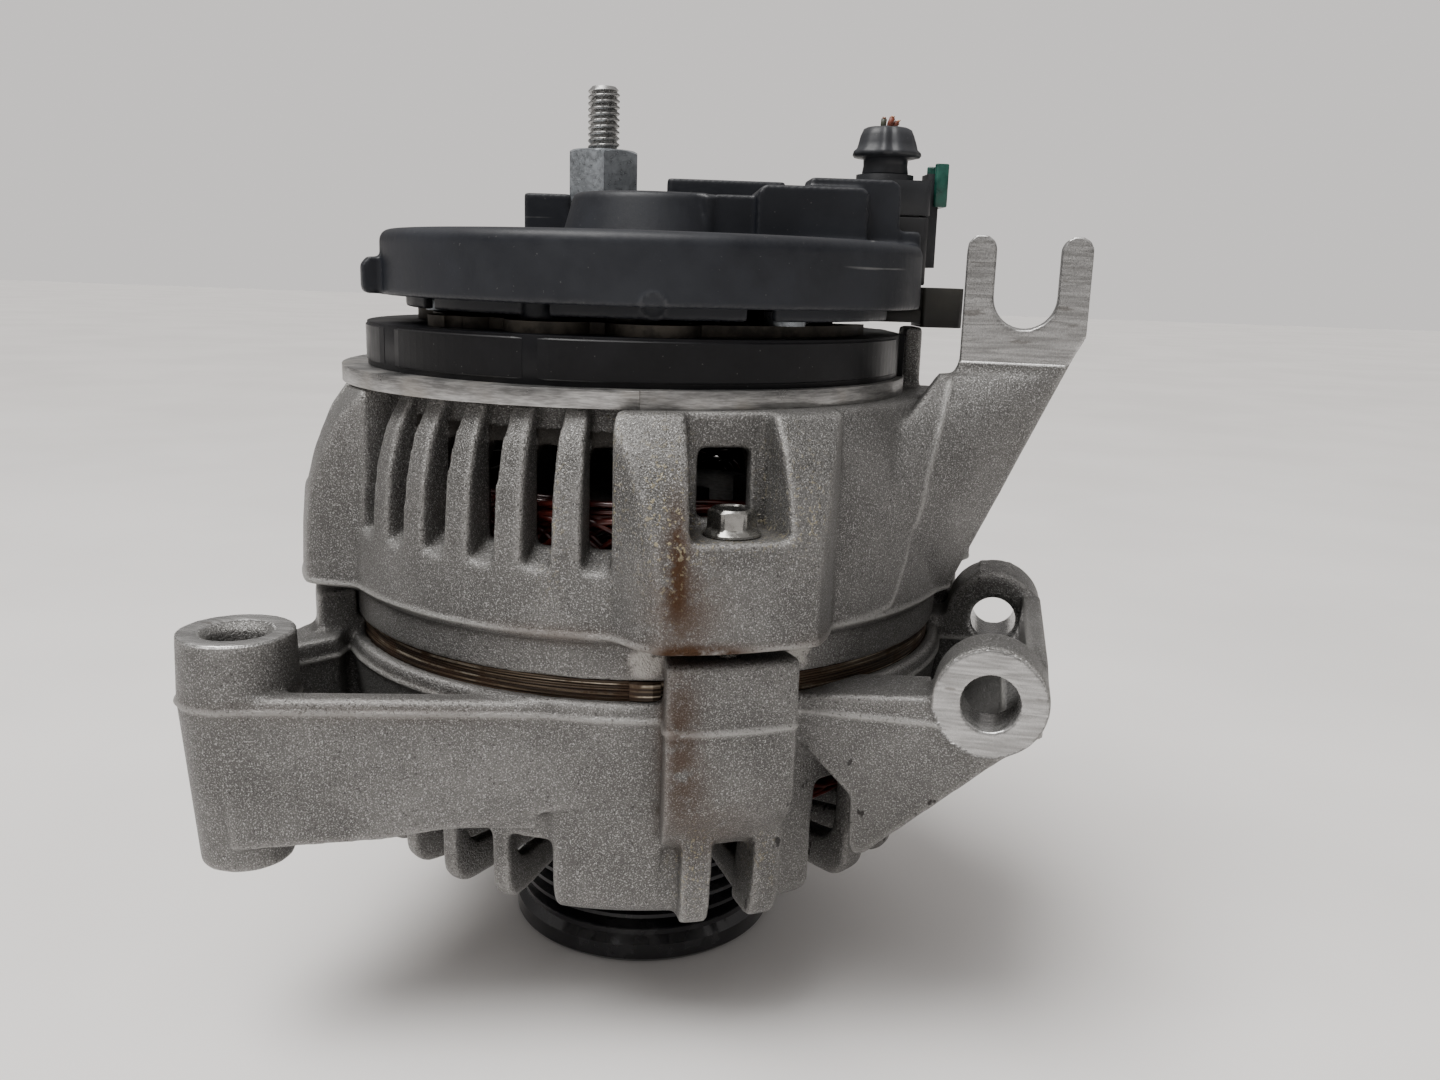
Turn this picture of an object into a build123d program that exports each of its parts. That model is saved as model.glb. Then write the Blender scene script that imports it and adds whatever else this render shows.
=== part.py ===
from build123d import *
import math
import os

os.makedirs("parts", exist_ok=True)

# A car alternator standing on its pulley.  Millimetres, +Z up along the rotor shaft.
# The origin is the centre of the pulley's front face.  The pivot bolt lies along Y.
# The regulator, the wiring plug and the side lug are set out on a second pair of
# directions, turned by ACCESSORY_TURN about the shaft.

# ------------------------------------------------------------------ driving dimensions
ACCESSORY_TURN = 16.0

# pulley
PULLEY_R = 31.75
PULLEY_H = 30.5
GROOVE_COUNT = 6
GROOVE_PITCH = 3.56
GROOVE_DEPTH = 2.9
GROOVE_START_Z = 7.5
GROOVE_LAND = 0.45
PULLEY_RECESS_R = 24.0
PULLEY_RECESS_Z = 14.0

# shaft and what sits on it
SHAFT_R = 8.5
REAR_JOURNAL_R = 7.5
SHAFT_NOSE_R = 7.0
SHAFT_NOSE_Z = 2.5
REAR_STUB_R = 6.0
REAR_STUB_TOP_Z = 157.0
REAR_JOURNAL_Z = 114.0
SPACER_R = 12.0

# bearings
FRONT_BEARING_R = 23.5
FRONT_BEARING_Z = 36.0
FRONT_BEARING_H = 14.0
FRONT_BALL_R = 4.35
FRONT_BALL_COUNT = 7
REAR_BEARING_R = 17.5
REAR_BEARING_Z = 119.0
REAR_BEARING_H = 11.0
REAR_BALL_R = 3.0
REAR_BALL_COUNT = 8
BEARING_SLEEVE_R = 18.5
RACE_RUNNING_GAP = 0.05

# stator
CORE_R = 66.5
CORE_BORE_R = 50.9
CORE_LOW_Z = 63.0
CORE_TOP_Z = 97.0
SLOT_COUNT = 36
SLOT_WIDTH = 3.4
SLOT_DEPTH = 9.5
WINDING_IN_R = 52.4
WINDING_OUT_R = 60.2
FRONT_WINDING_LOW_Z = 48.5
REAR_WINDING_TOP_Z = 112.0
CORE_SEAT_R = 66.55

# claw-pole rotor
CLAW_R = 50.3
CLAW_LOW_Z = 58.0
CLAW_TOP_Z = 102.0
CLAW_DISC_H = 12.0
CLAW_COUNT = 6
CLAW_IN_R = 43.0
POLE_HUB_R = 24.5
COIL_R = 42.0
COIL_CORE_R = 27.0
FAN_R = 48.0
FAN_DISC_H = 1.6
FAN_BLADE_H = 10.4
FAN_BLADE_COUNT = 11

# front (drive-end) housing
HUB_R = 29.5
FRONT_RIM_Z = 77.0
PARTING_Z = 74.0
FRONT_RIB_COUNT = 31
FRONT_RIB_PITCH = 360.0 / FRONT_RIB_COUNT
FRONT_WINDOW_ANGLE = 8.2
FRONT_WINDOW_PHASE = -59.2
FRONT_WINDOW_TOP_Z = 46.5
FRONT_WINDOW_IN_R = 42.0

# rear housing
REAR_WALL_R = 70.0
REAR_TOP_R = 62.5
REAR_TOP_Z = 131.5
REAR_END_WALL_Z = 126.0
REAR_SKIRT_R = 68.0
REAR_SKIRT_Z = 81.0
REAR_FLANGE_Z = 88.7
RECESS_R = 63.0
REAR_INNER_R = 61.0
SLOT_PITCH = 9.6
REAR_SLOT_W = 5.6
REAR_SLOTS_PER_BANK = 6
FIRST_SLOT_OFFSET = 20.3

# through bolts, M5
BOLT_ANGLES = tuple(-61.7 + 90.0 * index for index in range(4))
BOLT_CIRCLE_R = 70.0
BOLT_R = 2.5
BOLT_SEAT_Z = 109.7
BOLT_FLANGE_R = 5.2
BOLT_FLANGE_H = 1.3
BOLT_HEX_AF = 8.0
BOLT_HEX_H = 3.8
BOLT_TIP_Z = 66.0
TAB_TOP_Z = 87.0
TAB_R = 76.5

# pivot ears and fork
PIVOT_X = 81.7
PIVOT_Z = 79.2
PIVOT_BORE_R = 5.5
FAR_BORE_R = 5.1
EAR_R = 11.0
NEAR_EAR = (-52.7, -41.7)
FAR_EAR = (7.1, 23.0)
FORK_Y = (-10.0, -3.0)
FORK_LEFT_X = 70.2
FORK_RIGHT_X = 95.7
FORK_SLOT_X = (76.3, 89.4)
FORK_SLOT_FLOOR_Z = 146.7
FORK_TIP_Z = 165.8
FORK_FACE_Z = 139.5

# side lug (in the turned directions)
LUG_X = -79.0
LUG_Y = -56.0
LUG_R = 11.0
LUG_TOP_Z = 86.8
LUG_LOW_Z = 40.0
LUG_BORE_R = 5.25
LUG_MOUTH_R = 7.6
LUG_MOUTH_DEPTH = 1.6
LUG_WALL_Y = -66.8

# rectifier stack and cover
SINK_R = 63.5
SINK_CENTRE = (-5.5, -1.6)
SINK_TOP_Z = 135.0
SINK_BORE_R = 21.0
INSULATOR_R = 60.0
INSULATOR_CENTRE = (-3.5, -1.0)
INSULATOR_TOP_Z = 144.2
PLATE_TOP_Z = 146.4
COVER_R = 60.5
COVER_LOW_Z = 149.8
COVER_TOP_Z = 163.5
COVER_WALL = 2.2
HOOD_CAVITY_TOP_Z = 170.8
STACK_SCREW_ANGLES = (-40.0, 80.0, 200.0)
STACK_SCREW_R = 47.0
COVER_POST_ANGLES = (-100.0, 45.0, 165.0)
COVER_POST_R = 50.0

# output stud, M8
STUD_X = -24.0
STUD_Y = 35.0
STUD_R = 4.0
STUD_TIP_Z = 201.5
STUD_BARE_Z = 186.6
STUD_SHANK_R = 3.4
STUD_NUT_Z = (166.0, 186.0)
STUD_NUT_AF = 17.0
STUD_NUT_TURN = 48.4

# brushes (in the turned directions)
SLIP_RING_R = 7.7
SLIP_RINGS_Z = ((140.0, 146.0), (150.0, 156.0))
BRUSH_GAP = 0.08
BRUSH_LENGTH = 18.0
BRUSH_HALF_W = 3.2
BRUSH_HALF_H = 2.8
BRUSH_TRAVEL = 5.0

# regulator ears (in the turned directions)
REGULATOR_SCREWS = ((28.0, -15.6), (28.0, 17.6))
REGULATOR_SCREW_R = 1.8

# wiring plug (in the turned directions)
PLUG_X = 54.5
PLUG_Y = 5.0
BOOT_X = 52.9
SOCKET_X = (45.8, 62.0)
SOCKET_Y = (-4.2, 14.2)
SOCKET_Z = (155.0, 170.0)
LATCH_X = (62.4, 65.0)
LATCH_Y = (1.5, 8.5)
LATCH_TOP_Z = 180.0
WIRE_OFFSETS = ((-1.3, -0.8), (1.3, -0.8), (0.0, 1.4))
WIRE_R = 0.8

FAR = 200.0


# ------------------------------------------------------------------ small shape helpers
def post(radius, z_low, z_high, x=0.0, y=0.0):
    """An upright cylinder."""
    solid = Cylinder(radius, z_high - z_low, align=(Align.CENTER, Align.CENTER, Align.MIN))
    return Pos(x, y, z_low) * solid


def ring(outer, inner, z_low, z_high, x=0.0, y=0.0):
    """An upright tube."""
    return post(outer, z_low, z_high, x, y) - post(inner, z_low, z_high, x, y)


def block(x_span, y_span, z_span):
    """A box given by its lowest and highest coordinate on each axis."""
    size = (x_span[1] - x_span[0], y_span[1] - y_span[0], z_span[1] - z_span[0])
    return Pos(x_span[0], y_span[0], z_span[0]) * Box(*size, align=(Align.MIN,) * 3)


def corner_rounded(points, radii):
    """A closed outline with the numbered corners rounded."""
    outline = Polygon(*points, align=None)
    for index, radius in radii.items():
        corner = outline.vertices().sort_by_distance((*points[index], 0))[0]
        outline = fillet(corner, radius)
    return outline


def turned(points, radii=None, middle=180.0, sweep=360.0):
    """An outline of (radius, z) points turned about the shaft, all round or over a sweep."""
    face = Plane.XZ * corner_rounded(points, radii or {})
    return Rot(0, 0, middle - sweep / 2) * revolve(face, Axis.Z, revolution_arc=sweep)


def upright_plate(points, y_span, radii=None):
    """An outline of (x, z) points made into a plate that fills a span of y."""
    face = Plane.XZ * corner_rounded(points, radii or {})
    return Pos(0, y_span[1], 0) * extrude(face, y_span[1] - y_span[0], dir=(0, -1, 0))


def tower(points, z_span, radii=None):
    """An outline of (x, y) points raised over a span of z."""
    face = corner_rounded(points, radii or {})
    return Pos(0, 0, z_span[0]) * extrude(face, z_span[1] - z_span[0], dir=(0, 0, 1))


def round_block(x_span, y_span, z_span, radius):
    """A box with rounded upright edges."""
    width = x_span[1] - x_span[0]
    depth = y_span[1] - y_span[0]
    middle = Pos((x_span[0] + x_span[1]) / 2, (y_span[0] + y_span[1]) / 2, z_span[0])
    return middle * extrude(RectangleRounded(width, depth, radius), z_span[1] - z_span[0])


def hexagon(across_flats, z_low, z_high, x=0.0, y=0.0, turn=0.0):
    """An upright hexagonal bar."""
    outline = RegularPolygon(across_flats / 2, 6, major_radius=False)
    return Pos(x, y, z_low) * Rot(0, 0, turn) * extrude(outline, z_high - z_low)


def polar(radius, angle):
    """The x and y of a point given by its radius and angle."""
    return radius * math.cos(math.radians(angle)), radius * math.sin(math.radians(angle))


def along_y(radius, x, z, y_span):
    """A cylinder lying along Y."""
    bar = Cylinder(radius, y_span[1] - y_span[0], align=(Align.CENTER, Align.CENTER, Align.MIN))
    return Pos(x, y_span[0], z) * Rot(-90, 0, 0) * bar


def joined(solids):
    """All the solids fused to one."""
    solids = list(solids)
    return solids[0].fuse(*solids[1:]) if len(solids) > 1 else solids[0]


def carved(solid, cutters):
    """The solid with every cutter taken away."""
    return solid.cut(*list(cutters))


def accessory(shape):
    """Turn a shape from the accessory directions to the part's own."""
    return Rot(0, 0, ACCESSORY_TURN) * shape


def save(name, shape):
    """Write one node.  A list is written as a group of separate solids."""
    if isinstance(shape, list):
        solids = [solid for item in shape for solid in item.solids()]
    else:
        solids = list(shape.solids())
    whole = solids[0] if len(solids) == 1 else Compound(children=solids)
    export_step(whole, f"parts/{name}.step")


# ------------------------------------------------------------------ front housing
HUB_FACE_Z = 33.0
RIB_NOSE_Z = 30.6
FRONT_SKIN_R = 66.0
PANEL_MIDDLE = -80.4
PANEL_SWEEP = 18.0
BEARING_LIP_R = 12.0
TAB_FIN_ANGLES = (-65.6, -53.6)
TAB_FIN_SWEEP = 5.0
TALL_WINDOW_ANGLE = -38.6
RETAINER_SCREW_ANGLES = (45.0, 135.0, 225.0, 315.0)
RETAINER_SCREW_CIRCLE = 26.5
RETAINER_SCREW_R = 1.5
RETAINER_TOP_Z = 52.0
RETAINER_BORE_R = 17.0


def front_shell():
    """The drive-end bell: bearing hub, spoked end and drafted wall up to the rim."""
    outline = [
        (BEARING_LIP_R, HUB_FACE_Z),
        (HUB_R, HUB_FACE_Z),
        (40.0, 32.0),
        (58.0, RIB_NOSE_Z),
        (FRONT_SKIN_R, RIB_NOSE_Z),
        (66.4, 50.0),
        (69.7, PARTING_Z),
        (69.3, FRONT_RIM_Z),
        (CORE_SEAT_R, FRONT_RIM_Z),
        (CORE_SEAT_R, CORE_LOW_Z),
        (62.8, CORE_LOW_Z),
        (61.8, 38.5),
        (HUB_R, 38.5),
        (HUB_R, FRONT_BEARING_Z + FRONT_BEARING_H),
        (FRONT_BEARING_R, FRONT_BEARING_Z + FRONT_BEARING_H),
        (FRONT_BEARING_R, FRONT_BEARING_Z),
        (BEARING_LIP_R, FRONT_BEARING_Z),
    ]
    return turned(outline, {4: 5.5, 11: 5.0})


def front_window(middle, top_z=FRONT_WINDOW_TOP_Z, sweep=FRONT_WINDOW_ANGLE):
    """The cutter for one opening between two spokes."""
    outline = [(FRONT_WINDOW_IN_R, 20.0), (FAR / 2, 20.0), (FAR / 2, top_z), (FRONT_WINDOW_IN_R, top_z)]
    return turned(outline, middle=middle, sweep=sweep)


def front_windows():
    """Openings all round the end, left out behind the solid side panel."""
    tall_index = 2
    solid_steps = (-2, -1, 1)
    cutters = []
    for step in range(-6, FRONT_RIB_COUNT - 6):
        if step in solid_steps:
            continue
        middle = FRONT_WINDOW_PHASE + step * FRONT_RIB_PITCH
        if step == tall_index:
            cutters.append(front_window(TALL_WINDOW_ANGLE, top_z=57.0, sweep=9.0))
        else:
            cutters.append(front_window(middle))
    return cutters


def front_panel():
    """The plain panel that stands a little proud of the ribs, under the bolt tab."""
    outline = [(58.0, 34.0), (65.6, 34.0), (66.6, 37.0), (67.6, 54.0), (62.0, 57.0)]
    return turned(outline, {1: 2.0}, PANEL_MIDDLE, PANEL_SWEEP)


def tab_fins():
    """The two proud ribs that hang below the nearest bolt tab."""
    outline = [(58.0, 30.0), (67.6, 30.0), (69.6, 36.0), (71.0, 53.0), (72.0, 60.0), (62.6, 60.0)]
    return [turned(outline, {1: 3.0, 2: 4.0}, angle, TAB_FIN_SWEEP) for angle in TAB_FIN_ANGLES]


def bolt_tab(angle):
    """The upstand that one through bolt screws into."""
    body = [
        (62.6, 47.0),
        (67.0, 47.0),
        (70.6, 50.0),
        (75.6, 57.0),
        (TAB_R, 66.0),
        (TAB_R, TAB_TOP_Z),
        (REAR_SKIRT_R + 0.3, TAB_TOP_Z),
        (REAR_SKIRT_R + 0.3, REAR_SKIRT_Z - 0.3),
        (CORE_SEAT_R, REAR_SKIRT_Z - 0.3),
        (CORE_SEAT_R, CORE_LOW_Z),
        (62.6, CORE_LOW_Z),
    ]
    return turned(body, {3: 6.0, 5: 1.2}, angle, 19.5)


def side_lug():
    """The upright lug, its front wall and back wall, and the floor of the pocket between."""
    drafted = [
        (0.0, LUG_LOW_Z),
        (8.8, LUG_LOW_Z),
        (LUG_R + 0.4, PARTING_Z),
        (LUG_R, LUG_TOP_Z),
        (0.0, LUG_TOP_Z),
    ]
    barrel = Pos(LUG_X, LUG_Y, 0) * turned(drafted)
    front_wall = upright_plate(
        [(LUG_X, 45.5), (-50.0, 48.0), (-17.0, 54.0), (-4.0, 57.5), (-4.0, 76.4), (LUG_X, 76.4)],
        (LUG_WALL_Y, LUG_WALL_Y + 5.5),
    )
    back_wall = tower(
        [(-83.5, -48.0), (-88.5, -54.0), (-73.0, -16.0), (-66.0, -16.0), (-66.0, -32.0)],
        (50.0, 78.0),
    )
    wall_middle_y = LUG_WALL_Y + 1.0
    floor = tower(
        [(LUG_X, wall_middle_y), (-20.0, wall_middle_y), (-50.0, -44.0), (-67.0, -18.0), (-83.0, -50.0)],
        (50.0, 54.0),
    )
    return joined([barrel, front_wall, back_wall, floor])


def lug_bore():
    """The bolt hole of the lug, with a shallow cone at its mouth."""
    over_z = LUG_TOP_Z + 1
    cone_side = [(LUG_BORE_R, LUG_TOP_Z - LUG_MOUTH_DEPTH), (LUG_MOUTH_R, LUG_TOP_Z), (LUG_MOUTH_R, over_z)]
    mouth = turned([(0.0, LUG_TOP_Z - LUG_MOUTH_DEPTH)] + cone_side + [(0.0, over_z)])
    return joined([post(LUG_BORE_R, LUG_LOW_Z - 1, over_z, LUG_X, LUG_Y), Pos(LUG_X, LUG_Y, 0) * mouth])


def ear_bracket():
    """Two pivot ears with their webs, the outer wall that joins them and the sloping floor."""
    outer = [(86.0, 69.2), (84.0, 81.0), (76.0, 86.5), (70.0, 79.0)]
    near_outline = [(56.5, 42.3)] + outer + [(44.0, 77.0), (44.0, 69.0), (56.5, 57.0)]
    far_outline = [(40.0, 35.0), (56.0, 42.0)] + outer + [(46.0, 77.0), (30.0, 77.0), (30.0, 35.0)]
    near_web = upright_plate(near_outline, (NEAR_EAR[0] + 0.7, NEAR_EAR[1] + 4.0), {0: 2.0})
    far_web = upright_plate(far_outline, (FAR_EAR[0], FAR_EAR[1] - 3.0))
    near_web = near_web - along_y(EAR_R + 0.5, PIVOT_X, PIVOT_Z, (NEAR_EAR[1], NEAR_EAR[1] + 5.0))
    near_ear = along_y(EAR_R, PIVOT_X, PIVOT_Z, NEAR_EAR)
    far_ear = along_y(EAR_R, PIVOT_X, PIVOT_Z, FAR_EAR)
    between = (NEAR_EAR[1] - 1.0, FAR_EAR[0] + 1.0)
    outer_face = [(86.2, 69.4), (91.6, 74.5), (92.7, PIVOT_Z), (92.0, 85.5)]
    inner_face = [(88.0, 85.5), (87.8, PIVOT_Z), (85.4, 72.0)]
    outer_wall = upright_plate(outer_face + inner_face, between)
    floor = upright_plate(
        [(56.0, 42.0), (86.0, 69.2), (90.0, 74.0), (86.5, 76.0), (81.0, 70.0), (56.0, 47.5)],
        between,
    )
    return joined([near_web, far_web, near_ear, far_ear, outer_wall, floor])


def bell_clearance():
    """The room inside the bell, kept free of the brackets' inner ends."""
    below = post(61.8, 38.5, CORE_LOW_Z)
    seat = post(CORE_SEAT_R, CORE_LOW_Z, FAR)
    return joined([below, seat])


def mark_pads():
    """Two small plain pads on top of the far ear."""
    pads = []
    for y_low in (9.5, 15.5):
        pads.append(block((77.5, 85.5), (y_low, y_low + 4.0), (88.5, PIVOT_Z + EAR_R + 0.5)))
    return pads


def front_housing():
    """The drive-end casting, cored for the bearing, bolts, pivot and lug."""
    shell = carved(front_shell(), front_windows())
    brackets = joined([bolt_tab(angle) for angle in BOLT_ANGLES] + [accessory(side_lug()), ear_bracket()])
    brackets = carved(brackets, [bell_clearance(), post(59.0, 20.0, 38.6)])
    body = joined([shell, brackets, front_panel()] + tab_fins() + mark_pads())
    holes = [post(BOLT_R + 0.02, 60.0, TAB_TOP_Z + 1, *polar(BOLT_CIRCLE_R, a)) for a in BOLT_ANGLES]
    holes.append(accessory(lug_bore()))
    holes.append(along_y(PIVOT_BORE_R, PIVOT_X, PIVOT_Z, (NEAR_EAR[0] - 1, NEAR_EAR[1] + 1)))
    holes.append(along_y(FAR_BORE_R, PIVOT_X, PIVOT_Z, (FAR_EAR[0] - 1, FAR_EAR[1] + 1)))
    for angle in RETAINER_SCREW_ANGLES:
        holes.append(post(RETAINER_SCREW_R + 0.02, 43.0, 51.0, *polar(RETAINER_SCREW_CIRCLE, angle)))
    return carved(body, holes)


def bearing_retainer():
    """The plate that keeps the front bearing in its hub."""
    low_z = FRONT_BEARING_Z + FRONT_BEARING_H
    plate = ring(HUB_R - 0.5, RETAINER_BORE_R, low_z, RETAINER_TOP_Z)
    holes = [
        post(RETAINER_SCREW_R + 0.1, low_z - 1, RETAINER_TOP_Z + 1, *polar(RETAINER_SCREW_CIRCLE, angle))
        for angle in RETAINER_SCREW_ANGLES
    ]
    return carved(plate, holes)


def retainer_screws():
    """Pan-head screws through the retainer plate."""
    screws = []
    for angle in RETAINER_SCREW_ANGLES:
        x, y = polar(RETAINER_SCREW_CIRCLE, angle)
        shank = post(RETAINER_SCREW_R, 44.0, RETAINER_TOP_Z, x, y)
        head = post(2.6, RETAINER_TOP_Z, RETAINER_TOP_Z + 1.6, x, y)
        screws.append(shank + head - hexagon(1.8, RETAINER_TOP_Z + 0.8, RETAINER_TOP_Z + 2, x, y))
    return screws


# ------------------------------------------------------------------ rear housing
ARM_INNER_X = 58.0
LEAD_ANGLES = (60.0, 150.0, 240.0)
LEAD_CIRCLE = 55.5
LEAD_R = 1.1
LEAD_HOLE_R = 2.4


def rear_shell():
    """The slip-ring-end bell: skirt over the stator, flange, curved wall, end wall and hub."""
    outline = [
        (CORE_SEAT_R, REAR_SKIRT_Z),
        (REAR_SKIRT_R, REAR_SKIRT_Z),
        (REAR_SKIRT_R, REAR_FLANGE_Z),
        (REAR_WALL_R - 0.3, REAR_FLANGE_Z),
        (REAR_WALL_R + 0.2, 90.7),
        (69.4, 108.0),
        (68.4, 117.0),
        (66.4, 124.5),
        (REAR_TOP_R, REAR_TOP_Z),
        (BEARING_LIP_R, REAR_TOP_Z),
        (BEARING_LIP_R, REAR_BEARING_Z + REAR_BEARING_H),
        (BEARING_SLEEVE_R, REAR_BEARING_Z + REAR_BEARING_H),
        (BEARING_SLEEVE_R, REAR_BEARING_Z - 1.0),
        (25.0, REAR_BEARING_Z - 1.0),
        (25.0, REAR_END_WALL_Z),
        (57.0, REAR_END_WALL_Z),
        (REAR_INNER_R, 120.0),
        (REAR_INNER_R, CORE_TOP_Z),
        (CORE_SEAT_R, CORE_TOP_Z),
    ]
    return turned(outline, {5: 12.0, 6: 12.0, 7: 10.0, 8: 2.0})


def rear_boss(angle):
    """The swelling of the wall round one through bolt."""
    outline = [
        (RECESS_R - 1.0, REAR_FLANGE_Z + 0.6),
        (78.4, REAR_FLANGE_Z + 0.6),
        (78.8, 91.5),
        (78.4, 101.0),
        (77.6, 110.0),
        (75.6, 118.0),
        (72.6, 125.0),
        (68.0, REAR_TOP_Z),
        (RECESS_R - 3.0, REAR_TOP_Z),
    ]
    swelling = turned(outline, {4: 10.0, 5: 10.0, 7: 2.0}, angle, 44.0)
    flanks = [(50.0, -24.0), (64.0, -23.0), (72.5, -18.5), (80.0, -13.0)]
    mirrored = [(x, -y) for x, y in reversed(flanks)]
    return swelling & (Rot(0, 0, angle) * tower(flanks + mirrored, (REAR_FLANGE_Z, REAR_TOP_Z)))


def bolt_pocket(angle):
    """The pocket in front of a bolt's head, and the window behind it."""
    pocket_r = 64.4
    pocket = [(pocket_r, BOLT_SEAT_Z), (FAR / 2, BOLT_SEAT_Z), (FAR / 2, 140.0), (pocket_r, 140.0)]
    inner_r = REAR_INNER_R - 3
    window = [(inner_r, 111.5), (pocket_r + 2, 111.5), (pocket_r + 2, 124.7), (inner_r, 124.7)]
    return [turned(pocket, middle=angle, sweep=14.0), turned(window, middle=angle, sweep=9.0)]


def vent_slot(angle):
    """One slot: a recess between two outer ribs and the window through its back."""
    outer_r = REAR_WALL_R + 12
    mouth = [(outer_r, 96.0), (outer_r, 140.0), (58.0, 140.0)]
    recess = mouth + [(59.6, REAR_TOP_Z), (RECESS_R, 121.0), (RECESS_R, 105.0)]
    half = REAR_SLOT_W / 2
    recess_cut = upright_plate(recess, (-half, half), {5: 3.0})
    window_cut = block((REAR_INNER_R - 6, RECESS_R + 1), (-2.6, 2.6), (105.0, 124.0))
    return [Rot(0, 0, angle) * recess_cut, Rot(0, 0, angle) * window_cut]


def fork_arm():
    """The adjusting fork with its neck, and the fairing that blends it into the wall."""
    slot_half = (FORK_SLOT_X[1] - FORK_SLOT_X[0]) / 2
    slot_middle = (FORK_SLOT_X[0] + FORK_SLOT_X[1]) / 2
    neck = [
        (ARM_INNER_X, REAR_FLANGE_Z + 0.6),
        (70.9, REAR_FLANGE_Z + 0.6),
        (94.5, 143.5),
        (94.5, FORK_FACE_Z + 7.0),
        (FORK_LEFT_X, FORK_FACE_Z + 7.0),
        (FORK_LEFT_X, FORK_FACE_Z),
        (67.5, 133.5),
        (62.0, REAR_TOP_Z),
        (ARM_INNER_X, REAR_TOP_Z),
    ]
    body = upright_plate(neck, FORK_Y, {6: 5.0})
    tines = upright_plate(
        [
            (FORK_LEFT_X, FORK_FACE_Z),
            (FORK_RIGHT_X - 1.5, FORK_FACE_Z + 3.0),
            (FORK_RIGHT_X, FORK_FACE_Z + 6.0),
            (FORK_RIGHT_X, FORK_TIP_Z),
            (FORK_LEFT_X, FORK_TIP_Z),
        ],
        FORK_Y,
        {3: 3.0, 4: 3.0},
    )
    across = (FORK_Y[0] - 1, FORK_Y[1] + 1)
    slot_end_z = FORK_SLOT_FLOOR_Z + slot_half
    slot = block(FORK_SLOT_X, across, (slot_end_z, FORK_TIP_Z + 1))
    slot_end = along_y(slot_half, slot_middle, slot_end_z, across)
    tip_rounding = []
    for side in ((FORK_LEFT_X, FORK_SLOT_X[0]), (FORK_SLOT_X[1], FORK_RIGHT_X)):
        radius = (side[1] - side[0]) / 2
        crown = block(side, across, (FORK_TIP_Z - radius, FORK_TIP_Z + 1))
        middle = (side[0] + side[1]) / 2
        tip_rounding.append(crown - along_y(radius, middle, FORK_TIP_Z - radius, across))
    return carved(body + tines, [slot, slot_end] + tip_rounding)


def arm_fairing():
    """The sloping gusset between the fork neck and the round wall, thinning upwards."""
    front = loft([
        Pos(0, 0, REAR_FLANGE_Z + 0.6) * Polygon((44.0, -53.5), (71.0, -9.0), (50.0, -9.0), align=None),
        Pos(0, 0, 112.0) * Polygon((50.0, -46.5), (81.0, -9.5), (50.0, -9.0), align=None),
        Pos(0, 0, 137.0) * Polygon((66.5, -12.5), (91.4, -10.0), (66.0, -8.5), align=None),
    ], ruled=True)
    back = loft([
        Pos(0, 0, REAR_FLANGE_Z + 0.6) * Polygon((71.0, -4.0), (64.0, 25.0), (50.0, -4.0), align=None),
        Pos(0, 0, 112.0) * Polygon((78.0, -4.0), (64.0, 22.0), (50.0, -4.0), align=None),
        Pos(0, 0, 134.0) * Polygon((74.0, -4.0), (66.0, -1.0), (64.0, -4.0), align=None),
    ], ruled=True)
    return front + back


def rear_clearance():
    """The room inside the rear bell, kept free of the bosses' and arm's inner ends."""
    return joined([post(CORE_SEAT_R, CORE_LOW_Z, CORE_TOP_Z), post(REAR_INNER_R, CORE_TOP_Z - 1, 120.0)])


def rear_slot_angles():
    """The middle of every vent slot: a bank in each quadrant but the one with the fork."""
    angles = []
    for bolt_angle in (BOLT_ANGLES[0], BOLT_ANGLES[3], BOLT_ANGLES[2]):
        for index in range(REAR_SLOTS_PER_BANK):
            angles.append(bolt_angle - FIRST_SLOT_OFFSET - index * SLOT_PITCH)
    return angles


def end_wall_openings():
    """Air openings through the end wall, round the bearing hub."""
    cutters = []
    for index in range(12):
        outline = [(29.0, 120.0), (42.0, 120.0), (42.0, 140.0), (29.0, 140.0)]
        cutters.append(turned(outline, middle=index * 30.0 + 5.0, sweep=19.0))
    return cutters


def rear_housing():
    """The slip-ring-end casting with the fork arm."""
    raised = joined([rear_boss(angle) for angle in BOLT_ANGLES] + [fork_arm(), arm_fairing()])
    raised = carved(raised, [rear_clearance()])
    terminal_pillar = accessory(block((57.9, 62.3), (-4.0, 4.0), (REAR_TOP_Z - 0.5, 145.6)))
    body = joined([rear_shell(), raised, terminal_pillar])
    cutters = end_wall_openings()
    for angle in BOLT_ANGLES:
        cutters.append(post(BOLT_R + 0.3, 80.0, 115.0, *polar(BOLT_CIRCLE_R, angle)))
        if angle != BOLT_ANGLES[1]:
            cutters.extend(bolt_pocket(angle))
    cutters.append(turned(
        [(64.5, BOLT_SEAT_Z), (FAR / 2, BOLT_SEAT_Z), (FAR / 2, 140.0), (64.5, 140.0)],
        middle=BOLT_ANGLES[1], sweep=14.0,
    ))
    for angle in rear_slot_angles():
        cutters.extend(vent_slot(angle))
    for angle in LEAD_ANGLES:
        cutters.append(post(LEAD_HOLE_R, 120.0, 133.0, *polar(LEAD_CIRCLE, angle)))
    for angle in STACK_SCREW_ANGLES:
        cutters.append(post(2.02, 125.0, 133.0, *polar(STACK_SCREW_R, angle)))
    return carved(body, cutters)


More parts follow.
